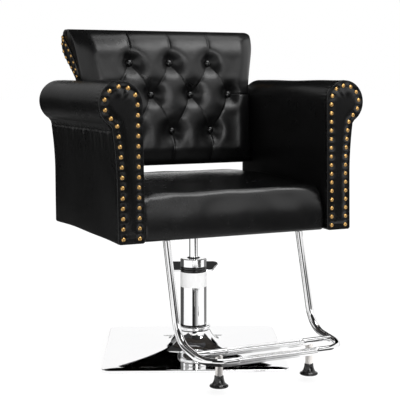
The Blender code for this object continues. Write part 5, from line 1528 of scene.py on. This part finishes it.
def bent_path(corner_points, bends, steps=28):
    """A line along straight runs with each inner corner rounded by its bend radius."""
    corner_points = np.array(corner_points, float)
    points = [corner_points[0][None, :]]
    for before, corner, after, bend in zip(corner_points, corner_points[1:], corner_points[2:], bends):
        inward = (corner - before) / np.linalg.norm(corner - before)
        leave = (after - corner) / np.linalg.norm(after - corner)
        turn = math.acos(np.clip(inward @ leave, -1.0, 1.0))
        start = corner - inward * bend * math.tan(turn / 2)
        inside = leave - inward * (inward @ leave)
        inside /= np.linalg.norm(inside)
        angle = np.linspace(0.0, turn, steps)[:, None]
        points.append(start + bend * (np.sin(angle) * inward + (1 - np.cos(angle)) * inside))
    points.append(corner_points[-1][None, :])
    return np.vstack(points)


def tube_rings(path, radius, side):
    """A round section carried along a line. radius may change along it and round it."""
    tangent = np.gradient(path, axis=0)
    tangent /= np.linalg.norm(tangent, axis=1, keepdims=True)
    first = np.cross(tangent, side)
    first /= np.linalg.norm(first, axis=1, keepdims=True)
    second = np.cross(tangent, first)
    angle = np.linspace(0.0, 2 * np.pi, radius.shape[1], endpoint=False)[None, :, None]
    return path[:, None, :] + radius[:, :, None] * (
        np.cos(angle) * first[:, None, :] + np.sin(angle) * second[:, None, :])


def fluted(x, settings):
    """Tube radius with grip lines along the middle of a bar: shallow round grooves that fade at the ends."""
    angle = np.linspace(0.0, 2 * np.pi, FLUTE_SIDES, endpoint=False)[None, :]
    where = soft_step((settings.flute_half - np.abs(x)) / FLUTE_FADE)[:, None]
    return FOOT_TUBE - settings.flute_depth * where * (0.5 - 0.5 * np.cos(FLUTES * angle))


def rail_height(y):
    """Height of the sloping footrest rails at a place along Y."""
    return RAIL_Z + (y - RAIL_Y) * math.tan(RAIL_SLOPE)


def footrest_rings(settings):
    """The footrest's one bent tube: two legs, two rails and the front bar, with level cut ends."""
    top_y = RAIL_Y + (LEG_TOP - RAIL_Z) * math.tan(LEG_SLOPE)
    half = [(LEG_X, top_y, LEG_TOP), (LEG_X, RAIL_Y, RAIL_Z), (LEG_X, FRONT_BAR_Y, rail_height(FRONT_BAR_Y))]
    whole = [(-x, y, z) for x, y, z in half] + half[::-1]
    line = bent_path(whole, (LEG_BEND, CORNER_BEND, CORNER_BEND, LEG_BEND))
    bar_half = LEG_X - CORNER_BEND - BAR_GAP
    bar = np.linspace(-bar_half, bar_half, BAR_STEPS)
    straight = [(x, FRONT_BAR_Y, rail_height(FRONT_BAR_Y)) for x in bar]
    middle = len(line) // 2
    line = np.vstack([line[:middle], straight, line[middle:]])
    on_bar = np.where(np.abs(line[:, 1] - FRONT_BAR_Y) < 1e-4, line[:, 0], 1.0)
    rings = tube_rings(line, fluted(on_bar, settings), (0.0, math.sin(RAIL_SLOPE), 1.0))
    for end, inner in ((0, 1), (-1, -2)):
        way = line[end] - line[inner]
        rings[end] += way[None, :] * ((LEG_TOP - rings[end][:, 2:]) / way[2])
    return rings


def cross_bar_rings(settings):
    """The cross bar between the rails, with grip lines and saddle-cut ends."""
    x = np.concatenate([[-LEG_X], np.linspace(-BAR_HALF, BAR_HALF, BAR_STEPS), [LEG_X]])
    path = np.column_stack([x, np.full(len(x), CROSS_BAR_Y), np.full(len(x), rail_height(CROSS_BAR_Y))])
    rings = tube_rings(path, fluted(x, settings), (0.0, 0.0, 1.0))
    square = np.array([0.0, -math.sin(RAIL_SLOPE), math.cos(RAIL_SLOPE)])
    for end, sign in ((0, -1.0), (-1, 1.0)):
        off = (rings[end] - path[end]) @ square
        depth = np.sqrt((FOOT_TUBE + SEAM_GAP) ** 2 - np.minimum(off ** 2, FOOT_TUBE ** 2))
        rings[end][:, 0] = sign * (LEG_X - depth)
    return rings


def foot_profile():
    """A bell foot's outline from its top to its sole: a slim neck that flares to a rounded rim."""
    low, high = FOOT_LOW[2], FOOT_HIGH[2]
    radius = (FOOT_HIGH[0] - FOOT_LOW[0]) / 2
    neck, rim = FOOT_NECK, FOOT_RIM
    top = high + POLE_RADIUS
    angle = np.linspace(np.pi, 1.5 * np.pi, 20)
    bell = np.column_stack([
        neck + (radius - neck) * (1 + np.cos(angle)),
        low + rim + (high - low - rim) * (1 + np.sin(angle))])
    shoulder = [(neck - FOOT_SHOULDER, top), (neck - FOOT_SHOULDER_SOFT, high - 2 * FOOT_SHOULDER_SOFT)]
    edge = arc_line((radius - rim / 2, low + rim / 2), rim / 2, np.pi / 2, -np.pi / 2, 10)
    return np.vstack([[(POLE_RADIUS, top)], shoulder, bell[1:-1], edge, [(POLE_RADIUS, low)]])


# Operators


class ChairOperator(bpy.types.Operator):
    """Common parts of the operators that dress the chair."""

    bl_options = {"REGISTER", "UNDO"}

    def settings(self, context):
        """The chair's settings in this scene."""
        return context.scene.chair_looks


class CHAIR_OT_seat(ChairOperator):
    """Make the padded seat and give it leather"""

    bl_idname = "chair_looks.seat"
    bl_label = "Seat"

    def execute(self, context):
        cloth = self.settings(context).upholstery
        rings = seat_rings()
        across, height = np.abs(rings[..., 0]), rings[..., 2]
        free = soft_step((SEAT_HALF - across) / SEAT_HOLD_SIDE)
        free = free * soft_step((height - SEAT_BOTTOM - SEAT_HOLD_FOOT) / SEAT_HOLD_RISE)
        rings = rings + swelling(rings, 1 - free, SEAT_SWELL, wrap=True)
        piece = loft("seat_cover", seat_creases(rings), sharp=60.0)
        smooth = leather(cloth, "seat_leather", SEAT_GLOSS)
        dress(piece, smooth, "seat", "black_leather", "seat_cushion", fill=0.8)
        return {"FINISHED"}


class CHAIR_OT_arms(ChairOperator):
    """Make both scroll arms with their nailed front panels"""

    bl_idname = "chair_looks.arms"
    bl_label = "Arms"

    def execute(self, context):
        cloth = self.settings(context).upholstery
        smooth = leather(cloth, "seat_leather", SEAT_GLOSS)
        for (side, sign), count in zip(SIDES, (cloth.left_nails, cloth.right_nails)):
            rings = arm_cover_rings()
            rings[..., 0] *= sign
            cover = loft(f"arm_cover_{side}", rings, sharp=60.0)
            dress(cover, leather(cloth), "seat", "black_leather", f"arm_{side}", fill=0.8)
            nails = nail_line(count, cloth.nail_inset)
            face = face_piece(f"arm_face_{side}", nails, sign)
            dress(face, smooth, "seat", "black_leather", f"arm_front_{side}", fill=0.7)
            y = FACE_FRONT - face_height(nails, nails, arm_line()) + arm_lean(nails[:, 1])
            places = np.column_stack([sign * nails[:, 0], y, nails[:, 1]])
            normals = np.tile((0.0, -1.0, arm_lean(ROLL_Z + 1.0)), (count, 1))
            heads = domes(f"arm_nails_{side}", places, normals, cloth.nail_radius, cloth.nail_height)
            dress(heads, brass(cloth), "seat", "brass")
        return {"FINISHED"}


class CHAIR_OT_back(ChairOperator):
    """Make the tufted pad, the rear cover with its scroll and the nailed side panels"""

    bl_idname = "chair_looks.back"
    bl_label = "Back"

    def execute(self, context):
        cloth = self.settings(context).upholstery
        pad = loft("back_pad", back_pad_rings(cloth.tuft_depth), sharp=75.0)
        dress(pad, leather(cloth), "seat", "black_leather", "back_cushion", fill=0.9)
        cover = loft("back_cover", shell_rings(), sharp=60.0)
        dress(cover, leather(cloth), "seat", "black_leather", "back_shell", fill=0.6)
        for side, sign in SIDES:
            nails = ear_nail_line(cloth.ear_nails, cloth.nail_inset * EAR_NAIL_INSET)
            ear = ear_piece(f"ear_{side}", nails, sign)
            dress(ear, leather(cloth), "seat", "black_leather", f"back_side_{side}", fill=0.6)
            places = np.column_stack([sign * (ear_plane(nails[:, 1]) + EAR_NAIL_LIFT), nails])
            normals = np.tile((sign, 0.0, -EAR_SLOPE), (len(nails), 1))
            radius = cloth.nail_radius * EAR_NAIL_SIZE
            heads = domes(f"ear_nails_{side}", places, normals, radius, cloth.nail_height)
            dress(heads, brass(cloth), "seat", "brass")
        return {"FINISHED"}


class CHAIR_OT_buttons(ChairOperator):
    """Make the leather-covered tuft buttons"""

    bl_idname = "chair_looks.buttons"
    bl_label = "Tuft Buttons"

    def execute(self, context):
        cloth = self.settings(context).upholstery
        polished = leather(cloth, "button_leather", BUTTON_GLOSS)
        for number in range(1, len(button_places()) + 1):
            piece = button_piece(number, cloth.button_radius)
            dress(piece, polished, "seat", "black_leather", f"tuft_button_{number}")
        return {"FINISHED"}


class CHAIR_OT_base(ChairOperator):
    """Make the chrome base cover and its trim ring"""

    bl_idname = "chair_looks.base"
    bl_label = "Base"

    def execute(self, context):
        metal = self.settings(context).metal
        rings = base_cover_rings()
        count, size = rings.shape[:2]
        cover = new_piece("base_cover", rings.reshape(-1, 3), [skin(count, size)], closed=False, sharp=40.0)
        wall = cover.modifiers.new("wall", "SOLIDIFY")
        wall.thickness = BASE_SHEET
        wall.offset = -1.0
        dress(cover, chrome(metal), "base", "chrome", "base_shell")
        inner, outer = PUMP_RADIUS + SEAM_GAP, TRIM_HIGH[0]
        belly, tall = (outer - inner) / 2, (TRIM_HIGH[2] - TRIM_LOW[2]) / 2
        angle = np.linspace(np.pi / 2, -np.pi / 2, 24)
        swell = np.column_stack([
            inner + belly * (1 + np.cos(angle)), TRIM_LOW[2] + tall * (1 + np.sin(angle))])
        profile = np.vstack([swell, [(inner, TRIM_LOW[2]), (inner, TRIM_HIGH[2])]])
        ring = turned("neck_ring", profile, wrap=True)
        dress(ring, chrome(metal), "base", "chrome", "trim_ring")
        return {"FINISHED"}


class CHAIR_OT_pump(ChairOperator):
    """Make the pump's polished tube, collar and rod, and the foot lever"""

    bl_idname = "chair_looks.pump"
    bl_label = "Pump and Lever"

    def execute(self, context):
        metal = self.settings(context).metal
        for name, node, body, width in POLISHED:
            dress(polished_copy(name, node, width), chrome(metal), body, "chrome", node)
        barrel = polished_copy("pump_barrel", "pump_tube", BARREL_SOFT)
        dress(barrel, banded_chrome(metal), "base", "chrome", "pump_tube")
        soft = EDGE_SOFT
        radius = ROD_HIGH[0]
        low, high = ROD_LOW[2], ROD_HIGH[2]
        profile = [
            (POLE_RADIUS, high), (radius - soft, high), (radius, high - soft), (radius, high - 2 * soft),
            (radius, low + 2 * soft), (radius, low + soft), (radius - soft, low), (POLE_RADIUS, low)]
        dress(turned("lift_rod", profile, steps=64), chrome(metal), "ram", "chrome", "ram_rod")
        outer, bore = GLAND_HIGH[0], GLAND_HIGH[0] - BAND_WALL
        low, high = GLAND_LOW[2], GLAND_HIGH[2]
        groove = (low + high) / 2
        profile = [
            (outer - soft, high), (outer, high - soft), (outer, groove + soft), (outer - soft, groove),
            (outer, groove - soft), (outer, low + soft), (outer - soft, low), (bore, low), (bore, high)]
        band = turned("pump_band", profile, wrap=True)
        dress(band, black_plastic(metal), "base", "black_plastic", "pump_gland")
        return {"FINISHED"}


class CHAIR_OT_footrest(ChairOperator):
    """Make the bent footrest with its grip lines, posts and bell feet"""

    bl_idname = "chair_looks.footrest"
    bl_label = "Footrest"

    def execute(self, context):
        metal = self.settings(context).metal
        bent = loft("footrest_frame", footrest_rings(metal), sharp=60.0)
        dress(bent, chrome(metal), "seat", "chrome", "footrest_tube")
        step = loft("footrest_step", cross_bar_rings(metal), sharp=60.0)
        dress(step, chrome(metal), "seat", "chrome", "footrest_bar")
        radius = (POST_HIGH[0] - POST_LOW[0]) / 2
        low, high = POST_LOW[2], rail_height(CROSS_BAR_Y) - FOOT_TUBE / 2
        profile = [(POLE_RADIUS, high), (radius, high), (radius, low), (POLE_RADIUS, low)]
        for side, sign in SIDES:
            centre = (sign * (FOOT_LOW[0] + FOOT_HIGH[0]) / 2, CROSS_BAR_Y)
            post = turned(f"post_{side}", profile, centre, 48)
            dress(post, satin_steel(metal), "seat", "chrome", f"foot_post_{side}")
            foot = turned(f"bell_foot_{side}", foot_profile(), centre, 64, sharp=40.0)
            dress(foot, black_plastic(metal), "seat", "black_plastic", f"foot_pad_{side}")
        return {"FINISHED"}


class CHAIR_OT_kept(ChairOperator):
    """Give the solids that stay in view, or inside, their finishes"""

    bl_idname = "chair_looks.kept"
    bl_label = "Kept Solids"

    def execute(self, context):
        chair = self.settings(context)
        finishes = {
            "dark_steel": dark_steel(chair.metal), "chrome": chrome(chair.metal),
            "black_rubber": black_rubber(chair.metal), "black_plastic": black_plastic(chair.metal),
            "bronze": bronze(chair.upholstery), "plywood": plywood(),
            "black_leather": leather(chair.upholstery)}
        for row in frame["record"]["subparts"]:
            slots = NODES[row["node"]].material_slots
            if not slots:
                raise RuntimeError(f"{row['node']} has no material slot")
            for slot in slots:
                slot.material = finishes[row["material_slot"]]
        return {"FINISHED"}


class CHAIR_OT_stage(ChairOperator):
    """Set up the floor, the soft lamps, the white surround and the camera"""

    bl_idname = "chair_looks.stage"
    bl_label = "Stage"

    def execute(self, context):
        studio = self.settings(context).studio
        scene = context.scene
        scene.view_settings.view_transform = "Standard"
        self.floor()
        self.surround(scene, studio)
        self.lamp(studio, "top_lamp", TOP_LAMP, studio.top_power)
        self.lamp(studio, "front_lamp", FRONT_LAMP, studio.front_power)
        for name, below, above, start, end, low, high in WALL_CARDS:
            self.card(studio, name, (below, below, above, above), self.wall(start, end, low, high))
        for name, value, start, end, far in WEDGE_CARDS:
            self.card(studio, name, (value,) * 4, self.wedge(start, end, far))
        for name, value, (left, near), (right, far), height in LEVEL_CARDS:
            self.card(studio, name, (value,) * 4, [
                (left, near, height), (right, near, height), (right, far, height), (left, far, height)])
        for name, pieces in KEPT_OFF:
            self.keep_off(bpy.data.objects[name], pieces)
        self.camera(scene, studio)
        return {"FINISHED"}

    def place(self, studio, across, toward, height):
        """A point given across the camera's view, from the chair towards the camera, and up."""
        cos, sin = math.cos(studio.azimuth), math.sin(studio.azimuth)
        return across * cos + toward * sin, across * sin - toward * cos, height

    def card(self, studio, name, values, corner_places):
        """A card that only reflections see, as a studio's flags, with a brightness at each corner."""
        points = np.array([self.place(studio, *corner) for corner in corner_places])
        card = new_piece(name, points, [np.array([[0, 1, 2, 3]])], closed=False)
        card.data.attributes.new("brightness", "FLOAT", "POINT").data.foreach_set("value", values)
        card.data.materials.append(self.card_material())
        card.visible_camera = False
        card.visible_diffuse = False
        card.visible_transmission = False
        card.visible_shadow = False

    def card_material(self):
        """Light as strong as a card's brightness says."""
        found = bpy.data.materials.get("studio_card")
        if found:
            return found
        material = bpy.data.materials.new("studio_card")
        material.use_nodes = True
        tree = material.node_tree
        brightness = add_node(tree, "ShaderNodeAttribute", attribute_name="brightness")
        glow = add_node(tree, "ShaderNodeEmission", (("Strength", brightness.outputs["Fac"]),))
        tree.links.new(glow.outputs[0], tree.nodes["Material Output"].inputs["Surface"])
        return material

    def wall(self, start, end, low, high):
        """Corners of an upright card between two places on the floor."""
        return [(*start, low), (*end, low), (*end, high), (*start, high)]

    def wedge(self, start, end, far):
        """Corners of a card on the floor round the pump, between two bearings from the camera's."""
        turn = np.radians([start, start, end, end])
        reach = np.array([WEDGE_START, far, far, WEDGE_START])
        return np.column_stack([reach * np.sin(turn), reach * np.cos(turn), np.full(4, FLOOR_CLEAR)])

    def seen_directly(self, tree):
        """1 for what the camera, a mirror or a glass sees."""
        path = tree.nodes.new("ShaderNodeLightPath")
        either = worked_out(tree, "MAXIMUM", path.outputs["Is Camera Ray"], path.outputs["Is Glossy Ray"])
        return worked_out(tree, "MAXIMUM", either, path.outputs["Is Transmission Ray"])

    def floor(self):
        """A wide pale floor that keeps a faint shadow."""
        signs = np.array([(-1.0, -1.0, 0.0), (1.0, -1.0, 0.0), (1.0, 1.0, 0.0), (-1.0, 1.0, 0.0)])
        floor = new_piece("floor", FLOOR_REACH * signs, [np.array([[0, 1, 2, 3]])], closed=False)
        material, tree, shader, _ = new_material("pale_floor", Roughness=0.9)
        shader.inputs["Base Color"].default_value = rgba(FLOOR_COLOUR)
        glow = add_node(tree, "ShaderNodeEmission", (("Strength", FLOOR_GLOW),))
        share = times(tree, self.seen_directly(tree), FLOOR_GLOW_SHARE)
        mix = add_node(tree, "ShaderNodeMixShader", ((0, share),))
        tree.links.new(shader.outputs[0], mix.inputs[1])
        tree.links.new(glow.outputs[0], mix.inputs[2])
        tree.links.new(mix.outputs[0], tree.nodes["Material Output"].inputs["Surface"])
        floor.data.materials.append(material)

    def surround(self, scene, studio):
        """Even light from all round, which the camera and the chrome see as white."""
        world = bpy.data.worlds.new("white_surround")
        scene.world = world
        world.use_nodes = True
        tree = world.node_tree
        lit = tree.nodes["Background"]
        lit.inputs["Strength"].default_value = studio.sky_strength
        lit.inputs["Color"].default_value = rgba(WHITE)
        seen = add_node(tree, "ShaderNodeBackground", (("Color", rgba(WHITE)), ("Strength", 1.0)))
        mix = add_node(tree, "ShaderNodeMixShader", ((0, self.seen_directly(tree)),))
        tree.links.new(lit.outputs[0], mix.inputs[1])
        tree.links.new(seen.outputs[0], mix.inputs[2])
        tree.links.new(mix.outputs[0], tree.nodes["World Output"].inputs["Surface"])

    def lamp(self, studio, name, layout, power):
        """A soft rectangular lamp that looks at a height on the chair's axis."""
        spot, aim, size = layout
        place = Vector(self.place(studio, *spot))
        light = bpy.data.lights.new(name, "AREA")
        light.shape = "RECTANGLE"
        light.size, light.size_y = size
        light.energy = power
        lamp = bpy.data.objects.new(name, light)
        lamp.location = place
        lamp.rotation_euler = (Vector((0.0, 0.0, aim)) - place).to_track_quat("-Z", "Y").to_euler()
        lamp.visible_camera = False
        bpy.context.scene.collection.objects.link(lamp)

    def keep_off(self, lamp, names):
        """Keep a lamp's or a glowing card's light off some pieces."""
        dark = bpy.data.collections.new(f"{lamp.name}_kept_off")
        for name in names:
            dark.objects.link(bpy.data.objects[name])
        for entry in dark.collection_objects:
            entry.light_linking.link_state = "EXCLUDE"
        lamp.light_linking.receiver_collection = dark

    def camera(self, scene, studio):
        """A camera on a turn and a height about the chair's middle."""
        level = math.cos(studio.elevation)
        back = Vector(self.place(studio, 0.0, level, math.sin(studio.elevation)))
        right = (-back).cross(Vector((0.0, 0.0, 1.0))).normalized()
        data = bpy.data.cameras.new("photo_view")
        data.lens = studio.lens
        data.sensor_width = SENSOR_WIDTH
        camera = bpy.data.objects.new("photo_view", data)
        aim = Vector((0.0, 0.0, studio.aim_height)) + right * studio.aim_side
        camera.location = aim + back * studio.distance
        camera.rotation_mode = "QUATERNION"
        camera.rotation_quaternion = (-back).to_track_quat("-Z", "Y")
        scene.collection.objects.link(camera)
        scene.camera = camera


class CHAIR_PT_looks(bpy.types.Panel):
    """Lists the chair's operators and settings in the sidebar"""

    bl_idname = "CHAIR_PT_looks"
    bl_label = "Hairdressing Chair"
    bl_space_type = "VIEW_3D"
    bl_region_type = "UI"
    bl_category = "Chair"

    def draw(self, context):
        chair = context.scene.chair_looks
        for group in (chair.upholstery, chair.metal, chair.studio):
            box = self.layout.box()
            for name in group.__annotations__:
                box.prop(group, name)
        for operator in OPERATORS:
            self.layout.operator(operator.bl_idname)


OPERATORS = (CHAIR_OT_seat, CHAIR_OT_arms, CHAIR_OT_back, CHAIR_OT_buttons, CHAIR_OT_base, CHAIR_OT_pump,
             CHAIR_OT_footrest, CHAIR_OT_kept, CHAIR_OT_stage)
CLASSES = (UpholsterySettings, MetalSettings, StudioSettings, ChairSettings, *OPERATORS, CHAIR_PT_looks)


def register():
    """Add the settings, operators and panel."""
    for item in CLASSES:
        bpy.utils.register_class(item)
    bpy.types.Scene.chair_looks = PointerProperty(type=ChairSettings)


def unregister():
    """Take the settings, operators and panel away again."""
    del bpy.types.Scene.chair_looks
    for item in reversed(CLASSES):
        bpy.utils.unregister_class(item)


def main():
    """Dress the chair piece by piece."""
    register()
    for operator in OPERATORS:
        group, name = operator.bl_idname.split(".")
        getattr(getattr(bpy.ops, group), name)()


if __name__ == "__main__":
    main()
